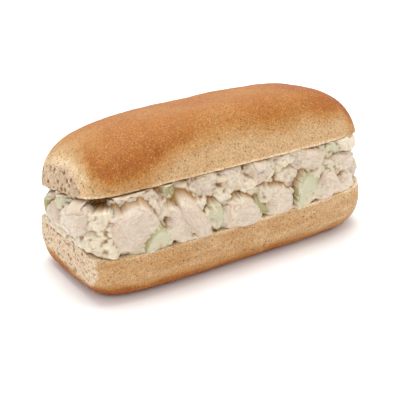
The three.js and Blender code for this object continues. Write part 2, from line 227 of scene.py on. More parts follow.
heel_low, heel_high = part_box("roll_heel")
# The part's origin is under the middle of the whole sub. The heel's box says how far that moved it.
HEEL_RIGHT_END = HEEL_LENGTH / 2 + HEEL_BULGE
SHIFT = np.array([heel_high.x / MM - HEEL_RIGHT_END, (heel_low.y + heel_high.y) / 2 / MM, 0])


# Random numbers and noise

def draw(i, k):
    """A repeatable number from 0 to 1 for thing i and property k: the fraction of a large sine wave."""
    wave = np.sin(np.asarray(i, float) * 12.9898 + k * 78.233) * 43758.5453
    return wave - np.floor(wave)


def lattice(cell, seed):
    """A repeatable number from 0 to 1 for each cell, given by its three whole numbers."""
    wave = np.sin(cell @ np.array([12.9898, 78.233, 37.719]) + 4.17 * seed) * 43758.5453
    return wave - np.floor(wave)


def lumps(points, size, seed):
    """Smooth noise from -1 to 1: a random number at each corner of a lattice with cells of that size,
    blended in between by 3t^2 - 2t^3 along each axis."""
    scaled = points / size
    cell = np.floor(scaled)
    part = scaled - cell
    part = part * part * (3 - 2 * part)
    total = np.zeros(points.shape[:-1])
    for corner in np.ndindex(2, 2, 2):
        share = np.prod(np.where(corner, part, 1 - part), axis=-1)
        total += share * lattice(cell + corner, seed)
    return 2 * total - 1


def knobs(points, size, seed):
    """Round knobs with creases between them, from 0 to 1: the size of smooth noise without its sign."""
    return np.minimum(1.6 * np.abs(lumps(points, size, seed)), 1)


def bubbles(points, size, seed):
    """Scattered seeds, one to a cube of that size. Gives each point its distance to the nearest, in
    sizes, and that seed's own random number."""
    scaled = points / size
    home = np.floor(scaled)
    nearest = np.full(points.shape[:-1], 9.0)
    number = np.zeros(points.shape[:-1])
    for step in np.ndindex(3, 3, 3):
        cell = home + step - 1
        spot = cell + np.stack([lattice(cell, seed + k) for k in (1, 2, 3)], axis=-1)
        away = np.linalg.norm(scaled - spot, axis=-1)
        closer = away < nearest
        nearest = np.where(closer, away, nearest)
        number = np.where(closer, lattice(cell, seed + 4), number)
    return nearest, number


def ramp(value, low, high):
    """0 below low, 1 above high, and 3t^2 - 2t^3 in between."""
    part = np.clip((value - low) / (high - low), 0, 1)
    return part * part * (3 - 2 * part)


def uneven(points, layers, seed):
    """Smooth noise of several sizes added up: each layer has its height, its size and its own seed."""
    return sum(height * lumps(points, size, seed + k) for k, (height, size) in enumerate(layers))


# Grids and meshes

def grid_normals(rings):
    """The outward normals of a grid of rings (rings, around, 3): its two directions' cross product."""
    around = np.roll(rings, -1, axis=1) - np.roll(rings, 1, axis=1)
    along = np.gradient(rings, axis=0)
    normal = np.cross(around, along)
    return normal / np.maximum(np.linalg.norm(normal, axis=-1, keepdims=True), 1e-9)


def ring_faces(rings, around, first=0):
    """The faces of a closed skin of rings: quads between the rings, and a fan to the point before the
    first ring and to the point after the last. Points are numbered start point, rings, end point."""
    k, j = np.meshgrid(np.arange(rings - 1), np.arange(around), indexing="ij")
    after = (j + 1) % around
    body = first + 1
    quads = np.stack([
        body + k * around + j, body + k * around + after,
        body + (k + 1) * around + after, body + (k + 1) * around + j,
    ], axis=-1).reshape(-1, 4)
    j = np.arange(around)
    after = (j + 1) % around
    start = np.stack([np.full(around, first), body + after, body + j], axis=-1)
    last = body + (rings - 1) * around
    end = np.stack([np.full(around, last + around), last + j, last + after], axis=-1)
    return quads, np.concatenate([start, end])


def skin_points(rings):
    """The points of a skin of rings as ring_faces numbers them; each end point is its ring's mean."""
    return np.concatenate([rings[0].mean(0)[None], rings.reshape(-1, 3), rings[-1].mean(0)[None]])


def skin_values(values):
    """One number for each point of skin_points, from one for each place on the grid."""
    return np.concatenate([[values[0].mean()], values.ravel(), [values[-1].mean()]])


def make_piece(name, points, quads, triangles, values, node, slot, material):
    """A mesh object of the given faces, moved into the part's frame, with one named number a point for
    each of values. It rides on the part, stands for its CAD node and takes the given material. The
    slot is not used."""
    corners = np.concatenate([quads.ravel(), triangles.ravel()]).astype(np.int32)
    starts = np.concatenate([
        np.arange(len(quads)) * 4, len(quads) * 4 + np.arange(len(triangles)) * 3,
    ]).astype(np.int32)
    mesh = bpy.data.meshes.new(name)
    mesh.vertices.add(len(points))
    mesh.vertices.foreach_set("co", ((points + SHIFT) * MM).astype(np.float32).ravel())
    mesh.loops.add(len(corners))
    mesh.loops.foreach_set("vertex_index", corners)
    mesh.polygons.add(len(starts))
    mesh.polygons.foreach_set("loop_start", starts)
    mesh.update(calc_edges=True)
    mesh.validate()
    for key, numbers in values.items():
        kind, field = ("FLOAT", "value") if numbers.ndim == 1 else ("FLOAT_VECTOR", "vector")
        data = mesh.attributes.new(key, kind, "POINT").data
        data.foreach_set(field, numbers.astype(np.float32).ravel())
    mesh.shade_smooth()
    mesh.materials.append(material)
    piece = bpy.data.objects.new(name, mesh)
    bpy.context.scene.collection.objects.link(piece)
    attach(piece, "root")
    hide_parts(node)


# The roll's shapes

def plan_point(angle, right, left, side, squareness):
    """The point at an angle on a superellipse |x/a|^n + |y/b|^n = 1, on the ray through (a cos, b sin),
    with its own half length to the left."""
    c, s = np.cos(angle), np.sin(angle)
    reach = (np.abs(c) ** squareness + np.abs(s) ** squareness) ** (-1 / squareness)
    return np.where(c > 0, right, left) * c * reach, side * s * reach


def even_angles(count, right, left, side, squareness, closer=0.0):
    """Angles that divide such a plan's edge into equal steps, or steps closer by that share in front."""
    fine = np.linspace(0, 2 * np.pi, 7201)
    x, y = plan_point(fine, right, left, side, squareness)
    steps = np.hypot(np.diff(x), np.diff(y)) * (1 - closer * np.sin(fine[1:]))
    travelled = np.concatenate([[0], np.cumsum(steps)])
    return np.interp(np.arange(count) * travelled[-1] / count, travelled, fine)


def even_steps(curve, step):
    """Values of t from 0 to 1 that divide a curve (x, y) of t into equal steps of about that length."""
    fine = np.linspace(0, 1, 2001)
    x, y = curve(fine)
    travelled = np.concatenate([[0], np.cumsum(np.hypot(np.diff(x), np.diff(y)))])
    count = max(2, round(travelled[-1] / step))
    return np.interp(np.linspace(0, travelled[-1], count + 1), travelled, fine)


def gap_height(across):
    """The height of the crown's cut face above the heel's, at a distance across the roll."""
    return CROWN_PLACE[2] - HEEL_HEIGHT - (across - CROWN_PLACE[1]) * math.tan(math.radians(CROWN_LEAN))


def crown_to_roll(points):
    """Leans the crown back about X, turns it about Z and sets it on the salad."""
    lean, turn = math.radians(CROWN_LEAN), math.radians(-CROWN_TURN)
    x, y, z = np.moveaxis(points, -1, 0)
    y, z = y * math.cos(lean) + z * math.sin(lean), z * math.cos(lean) - y * math.sin(lean)
    x, y = x * math.cos(turn) + y * math.sin(turn), y * math.cos(turn) - x * math.sin(turn)
    return np.stack([x, y, z], axis=-1) + CROWN_PLACE


# Points in a ring round the roll, the steps between rings up the heel and the crown, and the rims' rounding.
ROLL_AROUND = 760
RING_STEP = 0.48
DOME_STEP = 0.5
RIM_ROUNDING = 0.4
RIM_STEPS = 4
# Rings on the base and on the cut face, as shares of the way out from the middle: close near the edge.
BASE_RINGS = np.array([0.03, 0.25, 0.5, 0.7, 0.84, 0.93, 0.98])
CUT_FACE_RINGS = 1 - np.array([
    0.012, 0.026, 0.042, 0.06, 0.08, 0.105, 0.135, 0.17, 0.21, 0.26, 0.33, 0.42, 0.56, 0.75, 0.97,
])


def heel_rings():
    """Rings from the middle of the base, out and up the side, and in over the cut face. A ring is the
    roll's plan moved out or in: a quarter ellipse from the flat base, a side that swells like a sine and
    a small rounding at the rim. Left of the torn end's plane a point moves along its ray to the middle,
    on to it."""
    def base_curve(share):
        turn = share * np.pi / 2
        return BASE_CURVE * (1 - np.cos(turn)), BASE_CURVE_TOP * np.sin(turn)

    turn = (1 - even_steps(base_curve, RING_STEP)) * np.pi / 2
    out = [HEEL_BULGE - BASE_CURVE * (1 - np.cos(turn))]
    height = [BASE_CURVE_TOP * (1 - np.sin(turn))]
    side_top = HEEL_HEIGHT - RIM_ROUNDING
    rise = np.arange(BASE_CURVE_TOP + RING_STEP, side_top, RING_STEP)
    share = (rise - BASE_CURVE_TOP) / (HEEL_HEIGHT - BASE_CURVE_TOP)
    out.append(HEEL_BULGE * np.cos(share * np.pi / 2))
    height.append(rise)
    turn = np.linspace(0, np.pi / 2, RIM_STEPS)
    out.append(RIM_ROUNDING * (np.cos(turn) - 1))
    height.append(side_top + RIM_ROUNDING * np.sin(turn))
    out, height = np.concatenate(out), np.concatenate(height)
    base, cut = len(BASE_RINGS), len(CUT_FACE_RINGS)
    scale = np.concatenate([BASE_RINGS, np.ones(len(out)), CUT_FACE_RINGS])
    out = np.concatenate([np.full(base, out[0]), out, np.full(cut, out[-1])])[:, None]
    height = np.concatenate([np.zeros(base), height, np.full(cut, HEEL_HEIGHT)])[:, None]
    plan = (HEEL_LENGTH / 2, HEEL_LENGTH / 2 + TORN_END_SURPLUS, HEEL_WIDTH / 2, HEEL_SQUARENESS)
    angle = even_angles(ROLL_AROUND, *plan)[None]
    rise = (height - TORN_END_BOTTOM) / (BASE_CURVE_TOP - TORN_END_BOTTOM)
    surplus = TORN_END_SURPLUS * np.clip(rise, 0, 1)
    right = HEEL_LENGTH / 2 + out
    x, y = plan_point(angle, right, right + surplus, HEEL_WIDTH / 2 + out, HEEL_SQUARENESS)
    skew = math.tan(math.radians(TORN_END_SKEW))
    edge = TORN_END - skew * TORN_END_FRONT
    beyond = x < edge + skew * y
    inwards = np.where(beyond, edge / np.minimum(x - skew * y, -1), 1) * scale[:, None]
    return np.stack([x * inwards, y * inwards, height + 0 * x], axis=-1), scale


def crown_rings():
    """Rings from the middle of the cut face, out to the rim and up over the dome, in the crown's own
    frame. With t the share of the way up, reach = cos(t)^(2/p) and height = H sin(t)^(2/q); the plan goes
    from a square-cornered superellipse at the rim to an ellipse at the top."""
    def dome_curve(share):
        turn = share * np.pi / 2
        reach = np.cos(turn) ** (2 / CROWN_SIDE_POWER)
        return CROWN_WIDTH / 2 * reach, CROWN_HEIGHT * np.sin(turn) ** (2 / CROWN_TOP_POWER)

    share = even_steps(dome_curve, DOME_STEP)[1:-1]
    reach, height = dome_curve(share)
    reach = reach / (CROWN_WIDTH / 2)
    # The rim's own rounding takes the place of the dome's sharp lower edge.
    dome = height > RIM_ROUNDING
    share, reach, height = share[dome], reach[dome], height[dome]
    rim = np.linspace(np.pi / 2, 0, RIM_STEPS)
    rim_out = RIM_ROUNDING * (np.cos(rim) - 1)
    cut = len(CUT_FACE_RINGS)
    scale = np.concatenate([CUT_FACE_RINGS[::-1], np.ones(len(rim) + len(reach))])
    out = np.concatenate([np.full(cut, -RIM_ROUNDING), rim_out, np.zeros(len(reach))])[:, None]
    reach = np.concatenate([np.ones(cut + len(rim)), reach])[:, None]
    share = np.concatenate([np.zeros(cut + len(rim)), share])[:, None]
    height = np.concatenate([np.zeros(cut), RIM_ROUNDING * (1 - np.sin(rim)), height])[:, None]
    plan = (CROWN_LENGTH / 2, CROWN_LENGTH / 2, CROWN_WIDTH / 2, CROWN_SQUARENESS)
    angle = even_angles(ROLL_AROUND, *plan)[None]
    squareness = CROWN_SQUARENESS + (CROWN_TOP_SQUARENESS - CROWN_SQUARENESS) * share
    right = CROWN_LENGTH / 2 * reach + out
    x, y = plan_point(angle, right, right, CROWN_WIDTH / 2 * reach + out, squareness)
    return np.stack([x * scale[:, None], y * scale[:, None], height + 0 * x], axis=-1), scale


def crumb_relief(points, seed, openness=1.0):
    """Torn crumb: soft lumps with open pores, each a round dish as wide as its own number says. Gives the
    height and how deep in a pore each point is, from 0 to 1: how much painted shade the pore gets."""
    height = uneven(points, CRUMB_LUMPS, seed)
    hole = np.zeros(points.shape[:-1])
    for size, share, depth in CRUMB_PORES:
        away, number = bubbles(points, size, seed + 7 * size)
        radius = 0.28 + 0.16 * number
        dish = np.where(number < share * openness, 1 - ramp(away, 0.45 * radius, 1.15 * radius), 0)
        height -= depth * dish
        hole = np.maximum(hole, dish)
    return height, hole


def make_heel(material):
    """The heel: its rings moved along their normals by the crust's lumps, and by crumb relief on the torn
    end and the cut face. A low crease runs along the front, with a few pits. Its base browns in two
    steps, over the curve and close to the table, and more to the left; the side is pale, in long
    streaks. The crumb's pores, the pits and the crease are darkened by painted shade."""
    rings, scale = heel_rings()
    x, y, z = np.moveaxis(rings, -1, 0)
    cut = (scale < 1)[:, None] & (z > HEEL_HEIGHT - RIM_ROUNDING / 4)
    skew = math.tan(math.radians(TORN_END_SKEW))
    torn_depth = x - (TORN_END + skew * (y - TORN_END_FRONT))
    torn = 1 - ramp(torn_depth + 0.5 * lumps(rings, 1.7, 32), 0.0, 1.3)
    torn *= ramp(z + 1.5 * lumps(rings, 7, 31), 7.0, 9.6)
    crumb = np.maximum(torn, cut)
    opened, hole = crumb_relief(rings, 50)
    crease = np.exp(-((z - CREASE_HEIGHT - 0.7 * lumps(rings, 11, 33)) / CREASE_REACH) ** 2)
    crease *= ramp(x, *CREASE_START) * (1 - ramp(x, *CREASE_END)) * (y < 0)
    away, number = bubbles(rings, 5.2, 61)
    pits = np.where(number < 0.22, 0.8 * (1 - ramp(away, 0.04, 0.14)), 0) * ramp(z, 4, 8)
    for along, height, radius in HEEL_PITS:
        away = np.hypot(x - along, z - height) + 10 * (y > -20)
        pits = np.maximum(pits, 1 - ramp(away, 0.3 * radius, 1.3 * radius))
    height = (1 - crumb) * (uneven(rings, CRUST_LUMPS, 40) - 0.55 * pits) + crumb * opened - 0.22 * crease
    height *= ramp(z, 0.0, 2.5)
    rings = rings + grid_normals(rings) * height[..., None]
    rings[..., 2] = np.maximum(rings[..., 2], 0)

    wavy = z + lumps(rings, 9, 71)
    base = 0.68 * (1 - ramp(wavy, 4.3, 11.0 - 1.8 * ramp(x, -10, 40))) + 0.4 * (1 - ramp(wavy, 0.8, 5.0))
    base *= 1 + 0.25 * ramp(-x, 0, 45) - 0.06 * ramp(x, 5, 40)
    side = 0.06 * ramp(-x, 0, 50) - 0.05 * ramp(x, 0, 50) + 0.16 * lumps(rings / (4, 1, 1), 2.2, 72)
    rim = ramp(z, HEEL_HEIGHT - 1.8, HEEL_HEIGHT - 0.4)
    # The crumb's pores, the pits and the crease are darkened by painted shade.
    values = {
        "bake": skin_values(0.2 + 0.7 * base + side - 0.2 * rim),
        "crumb": skin_values(crumb),
        "hole": skin_values(np.maximum(hole * crumb, np.maximum(pits, 0.12 * crease) * (1 - crumb))),
    }
    faces = ring_faces(*rings.shape[:2])
    make_piece("wheat_roll_heel", skin_points(rings), *faces, values,
               "roll_heel", "crumb_and_base_crust", material)


def make_crown(material):
    """The crown: its rings moved along their normals by the crust's lumps, and by crumb relief on the cut
    face and on the torn patch low on its left end. It browns above a line, darkest in a band over the
    front's left half; the right end is brown all the way down and the left end pale. Painted shade makes
    the back of its top a little darker and darkens its pits and its crumb's pores, and a painted sheen
    makes the top towards its left end a little paler."""
    rings, scale = crown_rings()
    x, y, z = np.moveaxis(rings, -1, 0)
    cut = (scale < 1)[:, None] & (z < RIM_ROUNDING / 4)
    wander = uneven(rings, TORN_PATCH_LUMPS, 131)
    patch_top = np.interp(y, *zip(*TORN_PATCH))
    torn = ramp(-x + wander, *TORN_PATCH_START) * ramp(y + wander, *TORN_PATCH_FRONT)
    torn *= 1 - ramp(z + wander, patch_top - 1.2, patch_top + 1.2)
    crumb = np.maximum(torn, cut)
    opened, hole = crumb_relief(rings, 150, CROWN_OPENNESS)
    away, number = bubbles(rings, 6.5, 161)
    pits = np.where(number < 0.16, 1 - ramp(away, 0.03, 0.11), 0) * (1 - ramp(z, 12, 20))
    height = (1 - crumb) * (uneven(rings, CRUST_LUMPS, 140) - 0.4 * pits) + crumb * opened
    rings = rings + grid_normals(rings) * height[..., None]

    left_end = ramp(-x - 0.9 * np.abs(y) + uneven(rings, PALE_END_LUMPS, 178), 38, 62)
    line = np.interp(x, *zip(*BROWN_LINE)) + uneven(rings, BROWN_LINE_LUMPS, 171)
    line = np.where(y > 0, 11 + 2 * lumps(rings, 15, 173), line)
    line = line * (1 - left_end) + left_end * (18 + 1.5 * lumps(rings, 6, 174))
    brown = ramp(z - line + 0.9 * lumps(rings, 1.9, 177), -6.5, 6)
    band = np.exp(-((z - line - 3.5) / 5) ** 2) * ramp(-x, 20, 40) * (y < 0)
    patches = 0.5 + 0.5 * lumps(rings, 22, 175)
    bake = 0.12 - 0.14 * left_end + brown * (0.5 + 0.16 * patches + 0.2 * ramp(x, 30, 60)) + 0.09 * band
    # Painted shade: the back of the top a little darker. Painted sheen: the top towards the left end a
    # little paler.
    bake += 0.07 * ramp(y, 4, 20) - 0.07 * ramp(-x, 5, 45) * ramp(z, 15, 23)
    bake += 0.05 * ramp(-x, -30, 40) * (1 - left_end)
    bake += 0.5 * ramp(x, 60, 71) - 0.2 * (1 - ramp(z, 0.4, 1.8))
    shade = 0.6 + 0.4 * lumps(rings, 2.6, 176)
    # The crumb's pores and the crust's pits are darkened by painted shade; the torn patch's crumb also takes
    # a darker tone of its own, in lumps.
    values = {
        "bake": skin_values(bake),
        "crumb": skin_values(crumb),
        "hole": skin_values(np.maximum((hole + 0.55 * shade) * crumb, pits * (1 - crumb))),
    }
    faces = ring_faces(*rings.shape[:2])
    points = crown_to_roll(skin_points(rings))
    make_piece("wheat_roll_crown", points, *faces, values, "roll_crown", "top_crust", material)


# The salad's shapes

CELERY_KINDS = ("slice", "rib")

# The rays on which the dressing's skin is found: how far they reach, the step along them, how far inside the
# heel's plan they start, and how many there are round the salad and up its side.
DEPTH_OF_RAYS = 13.0
RAY_STEP = 0.4
SALAD_INSET = 9.0
SALAD_AROUND = 1000
SALAD_ROWS = 84

# How far, in mm, neighbouring surfaces and tints run into each other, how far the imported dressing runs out
# at its foot and hangs over the heel's rim, how clear of the bread the salad stays, how far the chunks' own
# meshes stay below the crown, and the rounding of the shoulder that the crown leaves free.
BLEND = 0.55
TINT_BLEND = 0.7
PACKED_FOOT = 3.6
FOOT_HANG = 2.2
BREAD_GAP = 0.06
COVER_OF_BLOCKS = 0.9
SHOULDER_ROUNDING = 4.6

# How valleys are told from their surroundings and darkened by painted shade: how often these are
# softened, how strongly such a valley is shaded, and how deep it lies where the shade starts and where
# it is full, in mm.
VALLEY_SHADE = ((3, 0.45, 0.02, 0.3), (14, 0.6, 0.12, 1.0), (60, 0.5, 0.6, 2.8))

# How many bits and small beads are scattered in the dressing, how large the bits are and how far out of the
# core they lie, and how much wider a hollow is than its radius in the tables.
BIT_COUNT = 560
BIT_RADIUS = (1.0, 2.3)
BIT_PROUD = (-0.7, 1.2)
BEAD_COUNT = 2600
HOLLOW_WIDENING = 1.3

# How lumpy the dressing has to be at a place, about 0 to 1, for a small bead, and how smooth for a hollow.
LUMPY = 0.6
SMOOTH = 0.1

# How much further than its own half diagonal a chunk is looked for, for the skin and for its tint, in mm.
SKIN_SPARE = 3.5
TINT_SPARE = 4.5

# How far inside the heel's plan the skin starts to be darkened by painted shade, and where it is so in full.
DEEP_SHADE_START = 4.0
DEEP_SHADE_FULL = 7.0

# The shares by which rings of dressing over the heel and under the crown are drawn in to the middle, and
# how strongly these, which lie between bread and chunks, are darkened by painted shade.
DRAWN_IN = (0.985, 0.965, 0.94, 0.9, 0.7, 0.3)
INSIDE_SHADE = 0.45


def turned(axis, degrees):
    """The 3 by 3 rotation about an axis, X = 0, Y = 1, Z = 2."""
    c, s = math.cos(math.radians(degrees)), math.sin(math.radians(degrees))
    rotation = np.eye(3)
    i, j = (axis + 1) % 3, (axis + 2) % 3
    rotation[i, i] = rotation[j, j] = c
    rotation[i, j], rotation[j, i] = -s, s
    return rotation


def front_line(along, above):
    """How far across the roll the salad's front lies, at a place along it and a height above the heel:
    the front leans back with height, and less so to the right."""
    return FRONT_FACE + (FRONT_LEAN - FRONT_TWIST * along) * above


def all_chunks():
    """Every chunk that shows, with its middle, half sizes along its own axes, rotation and seed. Its own
    -Y is the side that shows. It is tipped about its length, swung, sloped and turned to face its own
    side. The photograph gives the places of those in front and on the left, and a rule gives the
    others'."""
    chunks = []

    def put(kind, x, y, above, length, depth, height, slope, facing):
        seed = len(chunks) + 1
        tip = CHUNK_TIP * (2 * draw(seed, 5) - 1)
        swing = CHUNK_SWING * (2 * draw(seed, 6) - 1)
        chunks.append({
            "kind": kind, "seed": seed, "middle": np.array([x, y, HEEL_HEIGHT + above]),
            "half": np.array([CHUNK_OVERLAP * length, depth, CHUNK_OVERLAP * height]) / 2,
            "turn": turned(2, facing) @ turned(1, -slope) @ turned(2, swing) @ turned(0, tip),
        })

    for kind, along, above, length, height, slope, proud in FRONT_CHUNKS:
        depth = CHUNK_DEPTH + 0.5 * height + 0.15 * length
        y = front_line(along, above) + depth / 2 - proud
        put(kind, along, y, above, length, depth, height, slope, 0)
    for i, (kind, across, above, length, height, slope) in enumerate(LEFT_CHUNKS):
        depth = CHUNK_DEPTH + 0.5 * height
        x = LEFT_FACE + END_LEAN * above + depth / 2 - (LONG_DICE_PROUD if i == 0 else 0)
        put(kind, x, across, above, length, depth, height, slope, -90)
    for i in range(BACK_COUNT):
        kind = "slice" if i % 4 == 2 else "chicken"
        x = BACK_START + i * BACK_PITCH + 3 * (draw(i, 11) - 0.5)
        y = BACK_FACE - BACK_DEPTH / 2 + 2 * (draw(i, 12) - 0.5)
        room = gap_height(BACK_FACE - BACK_DEPTH / 2)
        length = BACK_PITCH * (0.85 if kind == "slice" else 1 + 0.3 * draw(i, 14))
        above = room * (0.44 + 0.12 * draw(i, 15))
        height = room * (0.68 + 0.18 * draw(i, 13))
        put(kind, x, y, above, length, BACK_DEPTH, height, 40 * (draw(i, 16) - 0.5), 180)
    for i, across in enumerate(RIGHT_ACROSS):
        high = i >= RIGHT_LOW_ROW
        kind = "slice" if i in RIGHT_SLICES else "chicken"
        room = gap_height(across)
        height = room * 0.42 if high else min(room * 0.6, 12)
        length = 11 if kind == "slice" else 13 + 3 * draw(i, 21)
        above = room * 0.76 if high else height * 0.56
        x = RIGHT_FACE - END_LEAN * above - RIGHT_DEPTH / 2 + 1.6 * draw(i, 22)
        put(kind, x, across, above, length, RIGHT_DEPTH, height, 30 * (draw(i, 23) - 0.5), 90)
    return chunks


def dice_size(unit, seed):
    """How large a dice of chicken through a point is, as a share of the whole dice. The dice is a block
    whose corners slanting cuts have taken off: the n-th root of |x|^n + |y|^n + |z|^n and, for each cut,
    of the n-th power of how far out the point is in the cut's direction over the cut's reach."""
    total = (np.abs(unit) ** CHUNK_SQUARENESS).sum(-1)
    for k in range(CHUNK_CUTS):
        way = np.array([draw(seed, 40 + 3 * k + axis) - 0.5 for axis in range(3)])
        reach = np.interp(draw(seed, 60 + k), (0, 1), CUT_REACH)
        total = total + np.maximum(unit @ way / np.linalg.norm(way) / reach, 0) ** CHUNK_SQUARENESS
    return np.maximum(total, 1e-9) ** (1 / CHUNK_SQUARENESS)


def chunk_distance(points, chunk):
    """About how far points are outside a chunk, in mm, and the points in the chunk's own frame. For dice
    and for ellipsoids it is measured along the ray to the middle. A slice of celery is a half disc
    between two cut faces and above its foot, and the hollow under its arch is full of dressing; a rib is
    such a slice laid down."""
    own = (points - chunk["middle"]) @ chunk["turn"]
    half = chunk["half"]
    if chunk["kind"] == "rib":
        own = np.stack([own[..., 2], -own[..., 0], -own[..., 1]], axis=-1)
        half = half[[2, 0, 1]]
    unit = own / half
    if chunk["kind"] in CELERY_KINDS:
        x, y, z = np.moveaxis(unit, -1, 0)
        z = (z + 1) / 2
        outer = (np.hypot(x, z) - 1) * min(half[0], 2 * half[2])
        return np.maximum(outer, np.maximum(-z * 2 * half[2], (np.abs(y) - 1) * half[1])), own
    if chunk["kind"] == "chicken":
        size = dice_size(unit, chunk["seed"])
    else:
        size = np.maximum(np.linalg.norm(unit, axis=-1), 1e-3)
    return np.linalg.norm(own, axis=-1) * (1 - 1 / size), own


def plan_distance(x, y, long, wide, squareness):
    """About how far a place in plan is outside a superellipse of those half sizes: (f - 1) over the slope
    of f, where f = (|x/a|^n + |y/b|^n)^(1/n) is 1 on its edge."""
    n = squareness
    x, y = np.abs(x) / long, np.abs(y) / wide
    f = (x ** n + y ** n) ** (1 / n)
    return (f - 1) / (f ** (1 - n) * np.hypot(x ** (n - 1) / long, y ** (n - 1) / wide))


def slide(x, level):
    """How far the heap has slid to the back at a level from the heel's cut face, 0, to the crown's, 1:
    its front follows the rims of both, and the crown sits further back and is turned."""
    return level * (CROWN_PLACE[1] + x * math.tan(math.radians(CROWN_TURN)))


def core_out(level):
    """How far the core's plan is outside the heel's: it swells by a sine of its level, and draws in."""
    return CORE_BULGE * np.sin(level * np.pi) - CORE_LEAN * level - CORE_INSET


def core_distance(points, level):
    """The distance in plan from the core, which slides back to the crown."""
    out = core_out(level)
    x, y = points[..., 0], points[..., 1]
    long, wide = HEEL_LENGTH / 2 + out, HEEL_WIDTH / 2 + out
    return plan_distance(x, y - slide(x, level), long, wide, HEEL_SQUARENESS)


def bread_limits(y):
    """The heights of the heel's cut face and the crown's, less the thin gap that keeps the salad clear."""
    return HEEL_HEIGHT + BREAD_GAP, HEEL_HEIGHT + gap_height(y) - BREAD_GAP


def beyond_crown(x, y):
    """How far a place in plan is outside the crown's rim; under the crown it is negative."""
    turn = math.radians(CROWN_TURN)
    own_x = (x - CROWN_PLACE[0]) * math.cos(turn) + (y - CROWN_PLACE[1]) * math.sin(turn)
    own_y = (y - CROWN_PLACE[1]) * math.cos(turn) - (x - CROWN_PLACE[0]) * math.sin(turn)
    wide = CROWN_WIDTH / 2 * math.cos(math.radians(CROWN_LEAN))
    return plan_distance(own_x, own_y, CROWN_LENGTH / 2, wide, CROWN_SQUARENESS)


def salad_limits(x, y):
    """The lowest and the highest that the salad may lie at a place in plan: on the heel's cut face and
    under the crown's. Clear of the heel's rim it may hang a little, and beyond the crown's it is rounded
    off by a quarter circle that starts a little unevenly."""
    place = np.stack(np.broadcast_arrays(x, y, 0.0), axis=-1)
    past_heel = plan_distance(x, y, HEEL_LENGTH / 2, HEEL_WIDTH / 2, HEEL_SQUARENESS)
    hang = FOOT_HANG * ramp(past_heel, 0.9, 2.4) * (0.8 + 0.4 * lumps(place, 5, 206))
    past_crown = beyond_crown(x, y) + 0.8 - 1.6 * lumps(place, 8, 205)
    inwards = np.clip(past_crown, 0, SHOULDER_ROUNDING)
    shoulder = SHOULDER_ROUNDING - np.sqrt(SHOULDER_ROUNDING ** 2 - inwards ** 2)
    shoulder = shoulder + ramp(past_crown, 0, 2.5) * uneven(place, SHOULDER_LUMPS, 207)
    low, high = bread_limits(y)
    return low - hang, high - np.maximum(shoulder, 0)


def soften(values, times):
    """Blurs a grid that closes round its second axis: each place takes its neighbours' mean, repeatedly."""
    for _ in range(times):
        values = (values + np.roll(values, 1, 1) + np.roll(values, -1, 1)) / 3
        padded = np.concatenate([values[:1], values, values[-1:]])
        values = (padded[:-2] + padded[1:-1] + padded[2:]) / 3
    return values


def salad_rays():
    """Rays out of the salad, one for each place on a grid round its side: where each starts, inset from
    the heel's plan, the way it points in plan, and its level, 0 on the heel and 1 under the crown."""
    long, wide = HEEL_LENGTH / 2 - SALAD_INSET, HEEL_WIDTH / 2 - SALAD_INSET
    plan = (long, long, wide, HEEL_SQUARENESS)
    x, y = plan_point(even_angles(SALAD_AROUND, *plan, closer=0.35), *plan)
    way_x, way_y = np.roll(y, -1) - np.roll(y, 1), np.roll(x, 1) - np.roll(x, -1)
    length = np.hypot(way_x, way_y)
    return x, y, way_x / length, way_y / length, np.linspace(0, 1, SALAD_ROWS)[:, None]


def on_ray(rays, travel):
    """The point at a distance along each ray. It keeps its level between the salad's two limits."""
    x, y, way_x, way_y, level = rays
    place_x = x + way_x * travel
    place_y = y + way_y * travel + slide(place_x, level)
    low, high = salad_limits(place_x, place_y)
    return np.stack(np.broadcast_arrays(place_x, place_y, low + level * (high - low)), axis=-1)


def film_thickness(points):
    """How thick the dressing lies over each kind of chunk, in mm; where it is negative the chunk is bare."""
    patches = uneven(points, FILM_LUMPS, 201)
    return {kind: share * patches + mean for kind, (share, mean) in FILM.items()}


def small_bits(rays):
    """Bits of chicken and curds of dressing, 2 to 5 mm wide, round the whole core: ellipsoids that stand
    out of it by a rule, wherever no chunk hides them."""
    x, y, way_x, way_y, _ = rays
    bits = []
    for i in range(BIT_COUNT):
        column, level = int(draw(i, 81) * SALAD_AROUND), draw(i, 82)
        travel = SALAD_INSET + core_out(level) + np.interp(draw(i, 83), (0, 1), BIT_PROUD)
        place_x = x[column] + way_x[column] * travel
        place_y = y[column] + way_y[column] * travel + slide(place_x, level)
        radius = np.interp(draw(i, 84), (0, 1), BIT_RADIUS)
        bits.append({
            "kind": "bit", "seed": 400 + i,
            "middle": np.array([place_x, place_y, HEEL_HEIGHT + level * gap_height(place_y)]),
            "half": radius * np.array([1.0 + 0.5 * draw(i, 85), 0.9, 0.75]),
            "turn": turned(2, 360 * draw(i, 86)) @ turned(1, 60 * (draw(i, 87) - 0.5)),
        })
    return bits


def columns_near(rays, chunk, spare):
    """Which columns of rays pass a chunk's middle in plan, within its half diagonal and a spare distance."""
    x, y, way_x, way_y, _ = rays
    reach = np.linalg.norm(chunk["half"]) + spare
    middle = chunk["middle"]
    level = (middle[2] - HEEL_HEIGHT) / gap_height(middle[1])
    to_x, to_y = middle[0] - x, middle[1] - slide(middle[0], level) - y
    beside = np.abs(to_x * way_y - to_y * way_x)
    ahead = to_x * way_x + to_y * way_y
    return (beside < reach) & (ahead > -reach) & (ahead < DEPTH_OF_RAYS + reach)


